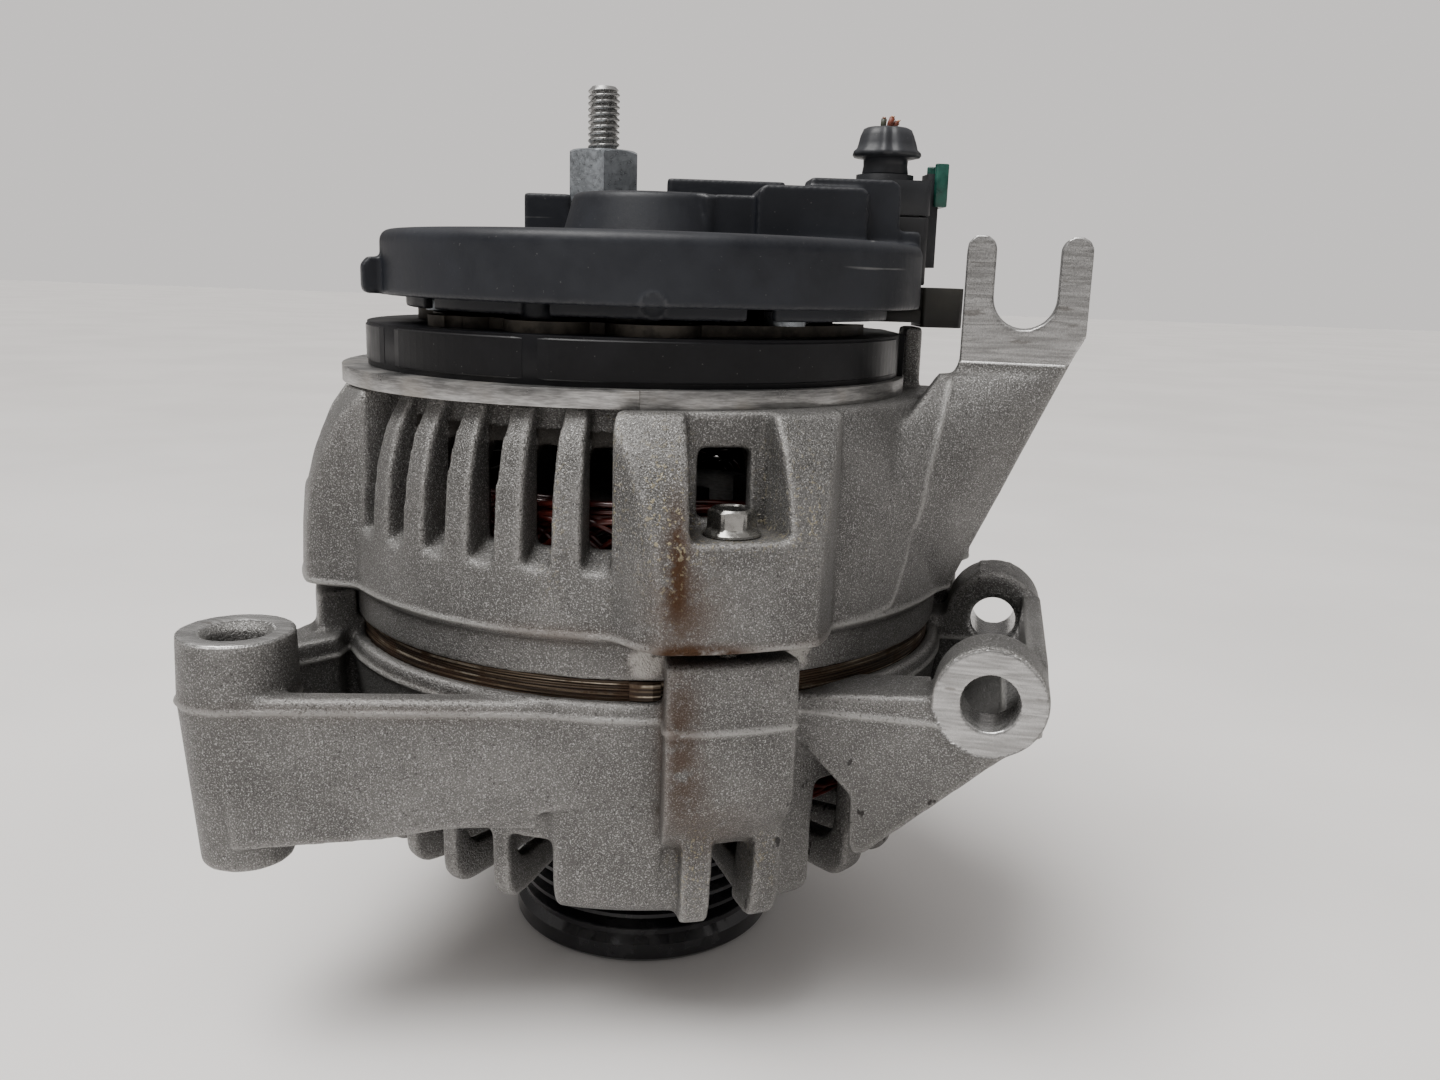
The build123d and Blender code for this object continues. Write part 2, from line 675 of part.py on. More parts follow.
# ------------------------------------------------------------------ bolts
def through_bolt(angle):
    """One M5 flanged hexagon bolt, plain where its thread would be."""
    x, y = polar(BOLT_CIRCLE_R, angle)
    hex_top_z = BOLT_SEAT_Z + BOLT_FLANGE_H + BOLT_HEX_H
    shank = post(BOLT_R, BOLT_TIP_Z, BOLT_SEAT_Z + 0.5, x, y)
    flange = post(BOLT_FLANGE_R, BOLT_SEAT_Z, BOLT_SEAT_Z + BOLT_FLANGE_H, x, y)
    head = hexagon(BOLT_HEX_AF, BOLT_SEAT_Z + BOLT_FLANGE_H - 0.2, hex_top_z, x, y, turn=angle)
    return joined([shank, flange, head])


# ------------------------------------------------------------------ stator
def stator_core():
    """The laminated core with its slots open to the bore."""
    face = Circle(CORE_R) - Circle(CORE_BORE_R)
    slot_middle = CORE_BORE_R + SLOT_DEPTH / 2 - 0.5
    slot = Pos(slot_middle, 0) * Rectangle(SLOT_DEPTH + 1.0, SLOT_WIDTH)
    slots = [Rot(0, 0, index * 360.0 / SLOT_COUNT) * slot for index in range(SLOT_COUNT)]
    face = face - slots
    return Pos(0, 0, CORE_LOW_Z) * extrude(face, CORE_TOP_Z - CORE_LOW_Z)


def end_winding(z_low, z_high):
    """One rounded ring of end turns."""
    inner = [(WINDING_IN_R, z_high), (WINDING_IN_R, z_low)]
    outer = [(WINDING_OUT_R, z_low), (WINDING_OUT_R, z_high)]
    return turned(inner + outer, {0: 3.0, 1: 3.0, 2: 3.0, 3: 3.0})


def stator_winding():
    """Both rings of end turns, joined by a bar of wire in every slot."""
    inset = 0.15
    bars = []
    for index in range(SLOT_COUNT):
        bar = block(
            (WINDING_IN_R + 1.0, CORE_BORE_R + SLOT_DEPTH - 1.0 - inset),
            (-SLOT_WIDTH / 2 + inset, SLOT_WIDTH / 2 - inset),
            (CORE_LOW_Z - 4.0, CORE_TOP_Z + 4.0),
        )
        bars.append(Rot(0, 0, index * 360.0 / SLOT_COUNT) * bar)
    front_ring = end_winding(FRONT_WINDING_LOW_Z, CORE_LOW_Z - 0.3)
    rear_ring = end_winding(CORE_TOP_Z + 0.3, REAR_WINDING_TOP_Z)
    return joined([front_ring, rear_ring] + bars)


def phase_leads():
    """The winding ends that run up through the end wall to the diodes."""
    leads = []
    for angle in LEAD_ANGLES:
        x, y = polar(LEAD_CIRCLE, angle)
        leads.append(post(LEAD_R, REAR_WINDING_TOP_Z, 141.0, x, y))
    return leads


# ------------------------------------------------------------------ rotor
def rotor_shaft():
    """The stepped shaft."""
    outline = [
        (0.0, SHAFT_NOSE_Z),
        (SHAFT_NOSE_R, SHAFT_NOSE_Z),
        (SHAFT_NOSE_R, PULLEY_RECESS_Z),
        (SHAFT_R, PULLEY_RECESS_Z),
        (SHAFT_R, REAR_JOURNAL_Z),
        (REAR_JOURNAL_R, REAR_JOURNAL_Z),
        (REAR_JOURNAL_R, 131.0),
        (REAR_STUB_R, 131.0),
        (REAR_STUB_R, REAR_STUB_TOP_Z),
        (0.0, REAR_STUB_TOP_Z),
    ]
    return turned(outline) - hexagon(6.0, SHAFT_NOSE_Z - 1, SHAFT_NOSE_Z + 7.0)


def claw_finger():
    """One pole finger, wide at the disc and narrow at its tip, on +X, rooted at the bottom."""
    outline = Polygon((-11.4, 0.0), (11.4, 0.0), (11.4, CLAW_DISC_H), (4.2, 42.5), (-4.2, 42.5),
                      (-11.4, CLAW_DISC_H), align=None)
    prism = extrude(Plane.YZ * outline, 60.0)
    skin = [
        (36.0, 0.0),
        (CLAW_R - 1.5, 0.0),
        (CLAW_R, 1.5),
        (CLAW_R, 42.5),
        (CLAW_R - 4.0, 42.5),
        (CLAW_IN_R, CLAW_DISC_H),
        (36.0, CLAW_DISC_H),
    ]
    return prism & turned(skin)


def claw_pole():
    """One pole half: disc, half hub and fingers, standing on z = 0."""
    disc = ring(38.5, SHAFT_R, 0.0, CLAW_DISC_H)
    hub = ring(POLE_HUB_R, SHAFT_R, CLAW_DISC_H, (CLAW_TOP_Z - CLAW_LOW_Z) / 2)
    fingers = [Rot(0, 0, index * 360.0 / CLAW_COUNT) * claw_finger() for index in range(CLAW_COUNT)]
    return joined([disc, hub] + fingers)


def fan(blade_turn):
    """A sheet fan: disc on z = 0 with blades standing on it."""
    disc = ring(FAN_R, SHAFT_R, 0.0, FAN_DISC_H)
    blades = []
    for index in range(FAN_BLADE_COUNT):
        blade = Pos(39.0, 0, FAN_DISC_H / 2) * Rot(0, 0, blade_turn) * Box(
            16.0, 1.4, FAN_BLADE_H + FAN_DISC_H / 2, align=(Align.CENTER, Align.CENTER, Align.MIN))
        blades.append(Rot(0, 0, index * 360.0 / FAN_BLADE_COUNT) * blade)
    return joined([disc] + blades)


def front_fan():
    """The fan under the front pole, blades towards the drive end."""
    return Pos(0, 0, CLAW_LOW_Z) * Rot(180, 0, 0) * fan(-35.0)


def rear_fan():
    """The fan over the rear pole, blades towards the slip rings."""
    return Pos(0, 0, CLAW_TOP_Z) * fan(35.0)


def rear_claw_pole():
    """The upper pole half, its fingers between those of the lower one."""
    return Rot(0, 0, 180.0 / CLAW_COUNT) * Pos(0, 0, CLAW_TOP_Z) * Rot(180, 0, 0) * claw_pole()


COIL_LOW_Z = CLAW_LOW_Z + CLAW_DISC_H
COIL_TOP_Z = CLAW_TOP_Z - CLAW_DISC_H
BOBBIN_FLANGE_H = 1.5


def coil_bobbin():
    """The plastic former of the field coil."""
    core = ring(COIL_CORE_R, POLE_HUB_R, COIL_LOW_Z, COIL_TOP_Z)
    low_flange = ring(COIL_R, POLE_HUB_R, COIL_LOW_Z, COIL_LOW_Z + BOBBIN_FLANGE_H)
    top_flange = ring(COIL_R, POLE_HUB_R, COIL_TOP_Z - BOBBIN_FLANGE_H, COIL_TOP_Z)
    return joined([core, low_flange, top_flange])


def field_coil():
    """The wire wound on the bobbin."""
    return ring(COIL_R - 0.8, COIL_CORE_R, COIL_LOW_Z + BOBBIN_FLANGE_H, COIL_TOP_Z - BOBBIN_FLANGE_H)


def slip_ring_carrier():
    """The moulded sleeve that insulates the slip rings from the shaft."""
    sleeve_r = 6.9
    flange_r = 7.4
    sleeve = ring(sleeve_r, REAR_STUB_R, 131.2, 159.0)
    collar_spans = ((136.0, 140.0), (146.0, 150.0), (156.0, 159.0))
    collars = [ring(flange_r, REAR_STUB_R, low, high) for low, high in collar_spans]
    return joined([sleeve] + collars)


def slip_rings():
    """The two copper rings."""
    return [ring(SLIP_RING_R, 6.9, low, high) for low, high in SLIP_RINGS_Z]


def pulley():
    """The six-groove belt pulley, recessed in front for its nut."""
    outline = [(PULLEY_RECESS_R, 0.0), (PULLEY_R - 1.0, 0.0), (PULLEY_R, 1.0), (PULLEY_R, 4.6)]
    outline += [(PULLEY_R - 1.6, 6.4), (PULLEY_R - 1.6, GROOVE_START_Z)]
    top_r = PULLEY_R - 1.4
    for index in range(GROOVE_COUNT):
        low_z = GROOVE_START_Z + index * GROOVE_PITCH
        middle_z = low_z + GROOVE_PITCH / 2
        outline.append((top_r, low_z + GROOVE_LAND))
        outline.append((top_r - GROOVE_DEPTH, middle_z - 0.3))
        outline.append((top_r - GROOVE_DEPTH, middle_z + 0.3))
        outline.append((top_r, low_z + GROOVE_PITCH - GROOVE_LAND))
    outline += [(PULLEY_R, 29.2), (PULLEY_R, PULLEY_H), (SHAFT_R, PULLEY_H), (SHAFT_R, PULLEY_RECESS_Z)]
    outline += [(PULLEY_RECESS_R, PULLEY_RECESS_Z)]
    return turned(outline, {len(outline) - 1: 2.0})


def pulley_nut():
    """The flanged nut that holds the pulley."""
    low_z = 4.0
    body = hexagon(24.0, low_z, PULLEY_RECESS_Z - 2.0)
    flange = post(15.5, PULLEY_RECESS_Z - 2.5, PULLEY_RECESS_Z)
    return body + flange - post(SHAFT_NOSE_R, 0.0, PULLEY_H)


# ------------------------------------------------------------------ bearings
FRONT_PITCH_R = 16.0
REAR_PITCH_R = 12.5
FRONT_SEAL_R = 13.4
REAR_SEAL_R = 10.8
FRONT_MIDDLE_Z = FRONT_BEARING_Z + FRONT_BEARING_H / 2
REAR_MIDDLE_Z = REAR_BEARING_Z + REAR_BEARING_H / 2
FRONT_BEARING = (FRONT_PITCH_R, FRONT_BALL_R, FRONT_BEARING_Z, FRONT_BEARING_H)
REAR_BEARING = (REAR_PITCH_R, REAR_BALL_R, REAR_BEARING_Z, REAR_BEARING_H)


def outer_race(outer_r, pitch_r, ball_r, z_low, height):
    """The outer ring of a ball bearing, with its groove."""
    shoulder_r = pitch_r + ball_r * 0.68
    body = ring(outer_r, shoulder_r, z_low, z_low + height)
    groove = Pos(0, 0, z_low + height / 2) * Torus(pitch_r, ball_r + RACE_RUNNING_GAP)
    return body - groove


def inner_race(bore_r, pitch_r, ball_r, z_low, height):
    """The inner ring of a ball bearing, with its groove."""
    shoulder_r = pitch_r - ball_r * 0.68
    body = ring(shoulder_r, bore_r, z_low, z_low + height)
    groove = Pos(0, 0, z_low + height / 2) * Torus(pitch_r, ball_r + RACE_RUNNING_GAP)
    return body - groove


def balls(pitch_r, ball_r, count, middle_z):
    """The balls of one bearing."""
    ball = Pos(pitch_r, 0, middle_z) * Sphere(ball_r)
    return [Rot(0, 0, index * 360.0 / count) * ball for index in range(count)]


def ball_cage(pitch_r, ball_r, count, middle_z):
    """The ring that keeps the balls apart."""
    half_h = ball_r * 1.2
    half_w = ball_r * 0.3
    band = ring(pitch_r + half_w, pitch_r - half_w, middle_z - half_h, middle_z + half_h)
    pocket = Pos(pitch_r, 0, middle_z) * Rot(0, 90, 0) * Cylinder(ball_r + 0.1, 4 * half_w)
    return carved(band, [Rot(0, 0, index * 360.0 / count) * pocket for index in range(count)])


def bearing_seals(inner_r, pitch_r, ball_r, z_low, height):
    """The two shields pressed into the outer ring."""
    thickness = 0.5
    inset = 0.4
    seal_in_r = inner_r
    seal_out_r = pitch_r + ball_r * 0.68
    low = ring(seal_out_r, seal_in_r, z_low + inset, z_low + inset + thickness)
    high = ring(seal_out_r, seal_in_r, z_low + height - inset - thickness, z_low + height - inset)
    return [low, high]


def bearing_sleeve():
    """The plastic sleeve between the rear bearing and its seat."""
    return ring(BEARING_SLEEVE_R, REAR_BEARING_R, REAR_BEARING_Z, REAR_BEARING_Z + REAR_BEARING_H)


# ------------------------------------------------------------------ rectifier stack
DIODE_R = 5.4
POSITIVE_DIODE_ANGLES = (-80.0, -28.0, 105.0)
NEGATIVE_DIODE_ANGLES = (-120.0, -54.0, 62.0, 170.0)
DIODE_CIRCLE = 38.0
POSITIVE_PLATE_R = 49.5
PLATE_LOBE_R = 9.5
PLATE_LOBE_CIRCLE = 46.5
PLATE_LOBE_ANGLES = (-99.0, -74.0, -126.0, 85.0, 135.0, 185.0)
RING_TRIM_X = 56.0


def stack_holes(z_low, z_high, screw_r=2.2):
    """Screw and lead holes through a layer of the rectifier stack."""
    holes = [post(screw_r, z_low, z_high, *polar(STACK_SCREW_R, angle)) for angle in STACK_SCREW_ANGLES]
    holes += [post(LEAD_HOLE_R, z_low, z_high, *polar(LEAD_CIRCLE, angle)) for angle in LEAD_ANGLES]
    return holes


def heat_sink_plate():
    """The bright ring plate that carries the negative diodes, with its edge tab."""
    plate = ring(SINK_R, SINK_BORE_R + 5.0, REAR_TOP_Z, SINK_TOP_Z, *SINK_CENTRE)
    tab_outer = [(63.6, REAR_TOP_Z), (64.6, SINK_TOP_Z - 0.6), (64.6, SINK_TOP_Z)]
    tab = turned([(56.0, REAR_TOP_Z)] + tab_outer + [(56.0, SINK_TOP_Z)], middle=-82.0, sweep=12.0)
    body = plate + tab
    right_trim = accessory(block((57.8, FAR), (-FAR, FAR), (REAR_TOP_Z - 1, SINK_TOP_Z + 1)))
    seats = [
        post(DIODE_R, SINK_TOP_Z - 2.5, SINK_TOP_Z + 1, *polar(DIODE_CIRCLE, angle))
        for angle in NEGATIVE_DIODE_ANGLES
    ]
    return carved(body, [right_trim] + seats + stack_holes(REAR_TOP_Z - 1, SINK_TOP_Z + 1))


def rectifier_insulator():
    """The black ring between the two plates, with its deck."""
    deck_low_z = INSULATOR_TOP_Z - 2.0
    wall = ring(INSULATOR_R, INSULATOR_R - 3.0, SINK_TOP_Z, INSULATOR_TOP_Z, *INSULATOR_CENTRE)
    deck = ring(INSULATOR_R - 1.0, 22.0, deck_low_z, INSULATOR_TOP_Z, *INSULATOR_CENTRE)
    inner = ring(30.0, 27.5, SINK_TOP_Z, INSULATOR_TOP_Z)
    pillars = []
    for angle in STACK_SCREW_ANGLES:
        pillars.append(post(5.0, SINK_TOP_Z, INSULATOR_TOP_Z, *polar(STACK_SCREW_R, angle)))
    body = joined([wall, deck, inner] + pillars)
    trim = accessory(block((RING_TRIM_X, FAR), (-FAR, FAR), (SINK_TOP_Z - 1, INSULATOR_TOP_Z + 1)))
    closing_x = (RING_TRIM_X - 3.0, RING_TRIM_X)
    closing = accessory(block(closing_x, (-14.0, 14.0), (SINK_TOP_Z, INSULATOR_TOP_Z)))
    holes = stack_holes(SINK_TOP_Z - 1, INSULATOR_TOP_Z + 1)
    for angle in POSITIVE_DIODE_ANGLES + NEGATIVE_DIODE_ANGLES:
        holes.append(post(DIODE_R + 0.4, SINK_TOP_Z - 1, INSULATOR_TOP_Z + 1, *polar(DIODE_CIRCLE, angle)))
    holes.append(accessory(block((-5.0, 46.0), (-10.0, 10.0), (SINK_TOP_Z - 1, INSULATOR_TOP_Z + 1))))
    holes.append(post(26.0, SINK_TOP_Z - 1, INSULATOR_TOP_Z + 1))
    holes.append(post(STUD_R + 0.2, SINK_TOP_Z - 1, INSULATOR_TOP_Z + 1, STUD_X, STUD_Y))
    for place in REGULATOR_SCREWS:
        screw_hole = post(REGULATOR_SCREW_R + 0.02, INSULATOR_TOP_Z - 3, INSULATOR_TOP_Z + 1, *place)
        holes.append(accessory(screw_hole))
    return carved(body, [trim] + holes) + closing


def positive_plate():
    """The upper heat sink, which carries the positive diodes and the output stud."""
    disc = post(POSITIVE_PLATE_R, INSULATOR_TOP_Z, PLATE_TOP_Z)
    lobes = [
        post(PLATE_LOBE_R, INSULATOR_TOP_Z, PLATE_TOP_Z, *polar(PLATE_LOBE_CIRCLE, angle))
        for angle in PLATE_LOBE_ANGLES
    ]
    plate = joined([disc] + lobes) - post(27.0, INSULATOR_TOP_Z - 1, PLATE_TOP_Z + 1)
    gap = accessory(block((-5.0, FAR), (-19.0, 21.0), (INSULATOR_TOP_Z - 1, PLATE_TOP_Z + 1)))
    holes = [
        post(DIODE_R, INSULATOR_TOP_Z - 1, PLATE_TOP_Z + 1, *polar(DIODE_CIRCLE, angle))
        for angle in POSITIVE_DIODE_ANGLES
    ]
    holes += [
        post(DIODE_R + 0.8, INSULATOR_TOP_Z - 1, PLATE_TOP_Z + 1, *polar(DIODE_CIRCLE, angle))
        for angle in NEGATIVE_DIODE_ANGLES
    ]
    holes += stack_holes(INSULATOR_TOP_Z - 1, PLATE_TOP_Z + 1)
    holes.append(post(STUD_SHANK_R, INSULATOR_TOP_Z - 1, PLATE_TOP_Z + 1, STUD_X, STUD_Y))
    return carved(plate, [gap] + holes)


def positive_diodes():
    """Press-fit diodes in the upper plate."""
    diodes = []
    for angle in POSITIVE_DIODE_ANGLES:
        x, y = polar(DIODE_CIRCLE, angle)
        can = post(DIODE_R, 139.0, PLATE_TOP_Z + 1.6, x, y)
        lead = post(0.8, 135.6, 139.0, x, y)
        diodes.append(can + lead)
    return diodes


def negative_diodes():
    """Press-fit diodes in the ring plate."""
    diodes = []
    for angle in NEGATIVE_DIODE_ANGLES:
        x, y = polar(DIODE_CIRCLE, angle)
        can = post(DIODE_R, SINK_TOP_Z - 2.5, SINK_TOP_Z + 5.0, x, y)
        lead = post(0.8, SINK_TOP_Z + 5.0, PLATE_TOP_Z + 2.0, x, y)
        diodes.append(can + lead)
    return diodes


def stack_screws():
    """The screws that clamp the rectifier stack to the end wall."""
    screws = []
    for angle in STACK_SCREW_ANGLES:
        x, y = polar(STACK_SCREW_R, angle)
        shank = post(2.0, 125.5, PLATE_TOP_Z, x, y)
        head = post(4.2, PLATE_TOP_Z, PLATE_TOP_Z + 2.6, x, y)
        screws.append(shank + head - hexagon(3.0, PLATE_TOP_Z + 1.2, PLATE_TOP_Z + 3, x, y))
    return screws


# ------------------------------------------------------------------ regulator and brushes
HOLDER_X = (9.2, 40.0)
HOLDER_HALF_W = 6.0
HOLDER_Z = (137.5, 158.5)
SPRING_END_X = 38.4
LEG_TOP_Z = 153.0
REGULATOR_LEGS_Y = ((-18.8, -11.5), (14.0, 20.8))


def brush(z_span):
    """One carbon brush, its end hollowed to the slip ring."""
    start = SLIP_RING_R + BRUSH_GAP
    middle = (z_span[0] + z_span[1]) / 2
    z_range = (middle - BRUSH_HALF_H, middle + BRUSH_HALF_H)
    body = block((4.0, start + BRUSH_LENGTH), (-BRUSH_HALF_W, BRUSH_HALF_W), z_range)
    return accessory(body - post(start, z_span[0] - 1, z_span[1] + 1))


def brush_spring(z_span):
    """The coil spring behind a brush."""
    start_x = SLIP_RING_R + BRUSH_GAP + BRUSH_LENGTH
    middle_z = (z_span[0] + z_span[1]) / 2
    length = SPRING_END_X - start_x
    wire_r = 0.3
    coil_r = 1.9
    turns = 7
    path = Helix(pitch=(length - 2 * wire_r) / turns, height=length - 2 * wire_r, radius=coil_r)
    wire = sweep(Plane(path @ 0, z_dir=path % 0) * Circle(wire_r), path)
    return accessory(Pos(start_x + wire_r, 0, middle_z) * Rot(0, 90, 0) * wire)


def brush_holder():
    """The moulded box that guides both brushes."""
    box = block(HOLDER_X, (-HOLDER_HALF_W, HOLDER_HALF_W), HOLDER_Z)
    cutters = []
    clear = 0.1
    for z_low, z_high in SLIP_RINGS_Z:
        middle = (z_low + z_high) / 2
        half_w = BRUSH_HALF_W + clear
        half_h = BRUSH_HALF_H + clear
        cutters.append(block((0.0, SPRING_END_X), (-half_w, half_w), (middle - half_h, middle + half_h)))
    return accessory(carved(box, cutters))


def regulator_body():
    """The voltage regulator, bolted beside the brush holder under the hood."""
    upper = round_block((11.0, 43.0), (-12.2, 17.5), (HOLDER_Z[1], 168.5), 2.0)
    first_fin = block((14.0, 15.8), (-11.6, 16.0), (168.0, 170.4))
    fins = [Pos(4.4 * step, 0, 0) * first_fin for step in range(7)]
    foot = block((HOLDER_X[1], SOCKET_X[0]), (-9.0, 9.0), (147.0, HOLDER_Z[1] + 0.5))
    legs = []
    for y_span in REGULATOR_LEGS_Y:
        legs.append(block((24.6, 34.5), y_span, (INSULATOR_TOP_Z, LEG_TOP_Z)))
        legs.append(block((31.3, 34.5), y_span, (LEG_TOP_Z - 1.0, HOLDER_Z[1] + 1.0)))
    body = joined([upper, foot] + fins + legs)
    holes = [post(REGULATOR_SCREW_R + 0.02, 140.0, LEG_TOP_Z + 1, *place) for place in REGULATOR_SCREWS]
    return accessory(carved(body, holes))


def regulator_screws():
    """The screws that hold the regulator's two ears down."""
    screws = []
    for x, y in REGULATOR_SCREWS:
        shank = post(REGULATOR_SCREW_R, INSULATOR_TOP_Z - 2.0, LEG_TOP_Z, x, y)
        head = post(2.9, LEG_TOP_Z, LEG_TOP_Z + 2.4, x, y)
        screws.append(accessory(shank + head))
    return screws


# ------------------------------------------------------------------ cover
HOOD_DRUM_R = 18.2
HOOD_FOOT_R = 20.8
SKIRT_R = 55.2
SKIRT_LOW_Z = 147.4
SKIRT_ARCS = (
    (64.0, 56.0),
    (130.0, 64.0),
    (198.0, 60.0),
    (246.0, 26.0),
    (285.0, 40.0),
    (331.0, 40.0),
)


def hood_step(x_span, y_span, top_z, left_corner, right_corner):
    """One flat-faced step of the hood, its two top corners rounded."""
    low_z = COVER_TOP_Z - 1
    outline = [(x_span[0], low_z), (x_span[1], low_z), (x_span[1], top_z), (x_span[0], top_z)]
    return upright_plate(outline, y_span, {2: right_corner, 3: left_corner})


def hood_outside():
    """The raised hood over the slip rings and the regulator."""
    low_z = COVER_TOP_Z - 1
    drum_side = [(HOOD_FOOT_R, low_z), (HOOD_FOOT_R, COVER_TOP_Z + 0.5), (HOOD_DRUM_R, 173.0)]
    drum = turned([(0.0, low_z)] + drum_side + [(0.0, 173.0)], {3: 1.6})
    neck = hood_step((4.0, 13.5), (-14.6, 21.0), 172.5, 0.6, 0.6)
    lip = hood_step((4.0, 11.4), (-16.4, -14.0), 173.0, 0.5, 0.5)
    lip = lip - block((3.0, 9.6), (-18.0, -14.6), (low_z - 1, 172.0))
    column = post(1.7, low_z, 172.4, 11.4, -15.6)
    step_one = hood_step((12.5, 23.5), (-16.6, 22.0), 172.8, 0.8, 0.8)
    step_two = hood_step((21.6, 45.5), (-19.5, 24.0), 175.0, 2.4, 2.2)
    step_three = hood_step((33.0, 53.0), (-16.0, -5.6), 177.0, 0.8, 2.6)
    step_four = hood_step((52.0, 58.0), (-15.5, -5.6), 166.4, 0.8, 1.0)
    return joined([drum, neck, lip, column, step_one, step_two, step_three, step_four])


def hood_inside():
    """The room under the hood."""
    drum = post(HOOD_DRUM_R - COVER_WALL, 160.0, HOOD_CAVITY_TOP_Z)
    box = block((0.0, 43.4), (-12.6, 18.6), (160.0, HOOD_CAVITY_TOP_Z))
    return joined([drum, box])


def cover_extras():
    """The clip tab on the edge, the shroud by the stud and the flat tower behind the hood."""
    clip = turned(
        [(57.0, 150.0), (64.0, 150.0), (64.6, 151.0), (64.6, 156.0), (63.2, 157.6), (57.0, 157.6)],
        middle=211.0, sweep=9.0,
    )
    shroud_wall = block((-32.5, -30.2), (29.0, 48.0), (COVER_TOP_Z - 1, 174.5))
    shroud_front = block((-32.5, -21.0), (29.0, 31.2), (COVER_TOP_Z - 1, 174.5))
    shroud_back = block((-32.5, -20.0), (51.0 - 4.0, 48.6), (COVER_TOP_Z - 1, 172.0))
    flat_tower = round_block((3.0, 33.0), (34.0, 46.0), (COVER_TOP_Z - 1, 179.5), 1.2)
    return [clip] + [accessory(s) for s in (shroud_wall, shroud_front, shroud_back, flat_tower)]


def inner_skirt():
    """Curved walls inside the cover that keep splashes off the rectifier."""
    inner_r = SKIRT_R - 2.0
    top_z = COVER_TOP_Z - 1
    outline = [(inner_r, SKIRT_LOW_Z), (SKIRT_R, SKIRT_LOW_Z), (SKIRT_R, top_z), (inner_r, top_z)]
    return [turned(outline, middle=middle, sweep=sweep) for middle, sweep in SKIRT_ARCS]


def rear_cover():
    """The black cover: domed disc, hood, posts and bosses, hollow underneath."""
    disc = turned(
        [(0.0, COVER_LOW_Z), (COVER_R, COVER_LOW_Z), (COVER_R, COVER_TOP_Z), (0.0, COVER_TOP_Z)],
        {2: 2.4},
    )
    body = joined([disc, accessory(hood_outside())] + cover_extras())
    hollow = post(COVER_R - COVER_WALL, COVER_LOW_Z - 1, COVER_TOP_Z - COVER_WALL)
    tower_hollow = accessory(block((5.0, 31.0), (36.0, 44.0), (COVER_LOW_Z, 177.0)))
    body = carved(body, [hollow, accessory(hood_inside()), tower_hollow])
    posts = [
        post(3.6, PLATE_TOP_Z, COVER_TOP_Z - 1, *polar(COVER_POST_R, angle)) for angle in COVER_POST_ANGLES
    ]
    body = joined([body] + inner_skirt() + posts)
    socket_room = accessory(block((45.6, 62.2), (-4.4, 14.4), (COVER_LOW_Z - 1, 190.0)))
    stud_hole = post(8.6, COVER_TOP_Z - 4, COVER_TOP_Z + 1, STUD_X, STUD_Y)
    terminal_room = accessory(block((45.0, 64.0), (-5.6, 5.6), (SKIRT_LOW_Z - 1, 150.2)))
    return carved(body, [socket_room, stud_hole, terminal_room])


# ------------------------------------------------------------------ output stud
def output_stud():
    """The M8 output stud with its round foot on the upper plate."""
    shank = post(STUD_SHANK_R, INSULATOR_TOP_Z, STUD_BARE_Z, STUD_X, STUD_Y)
    foot = post(7.0, PLATE_TOP_Z, PLATE_TOP_Z + 3.0, STUD_X, STUD_Y)
    thread = post(STUD_R, STUD_BARE_Z, STUD_TIP_Z, STUD_X, STUD_Y)
    tip_edge = (thread.faces().sort_by(Axis.Z)[-1]).edges()
    return joined([shank, foot, chamfer(tip_edge, 0.8)])


def stud_insulator():
    """The collar that keeps the stud and its nut off the cover."""
    return ring(8.0, STUD_SHANK_R + 0.05, PLATE_TOP_Z + 3.0, STUD_NUT_Z[0], STUD_X, STUD_Y)


def stud_nut():
    """The long hexagon nut."""
    body = hexagon(STUD_NUT_AF, STUD_NUT_Z[0], STUD_NUT_Z[1], STUD_X, STUD_Y, turn=STUD_NUT_TURN)
    cone_side = [(10.2, 160.0), (10.2, STUD_NUT_Z[1] - 1.2), (8.2, STUD_NUT_Z[1])]
    cone = turned([(0.0, 160.0)] + cone_side + [(0.0, STUD_NUT_Z[1])])
    body = body & (Pos(STUD_X, STUD_Y, 0) * cone)
    return body - post(STUD_SHANK_R + 0.02, STUD_NUT_Z[0] - 1, STUD_NUT_Z[1] + 1, STUD_X, STUD_Y)


# ------------------------------------------------------------------ terminal block and plug
SOCKET_WALL = 1.6
SOCKET_FLOOR_Z = 158.0
PIN_STEP = 4.2
PIN_R = 0.6


def terminal_block():
    """The moulded terminal that stands out past the cover's edge."""
    neck = block((50.0, 61.5), (-5.0, 5.0), (PLATE_TOP_Z + 0.2, 149.4))
    head = round_block((61.2, 70.7), (-6.0, 6.0), (145.6, 154.5), 1.0)
    return accessory(neck + head)


def regulator_socket():
    """The socket that the wiring plug goes into."""
    outside = round_block(SOCKET_X, SOCKET_Y, SOCKET_Z, 1.5)
    inside = block(
        (SOCKET_X[0] + SOCKET_WALL, SOCKET_X[1] - SOCKET_WALL),
        (SOCKET_Y[0] + SOCKET_WALL, SOCKET_Y[1] - SOCKET_WALL),
        (SOCKET_FLOOR_Z, SOCKET_Z[1] + 1),
    )
    return accessory(outside - inside)


def pin_places():
    """The middles of the four contacts."""
    return [(PLUG_X - 0.6, PLUG_Y + (index - 1.5) * PIN_STEP) for index in range(4)]


def socket_pins():
    """The four contacts standing in the socket."""
    return [accessory(post(PIN_R, SOCKET_FLOOR_Z, 166.0, x, y)) for x, y in pin_places()]


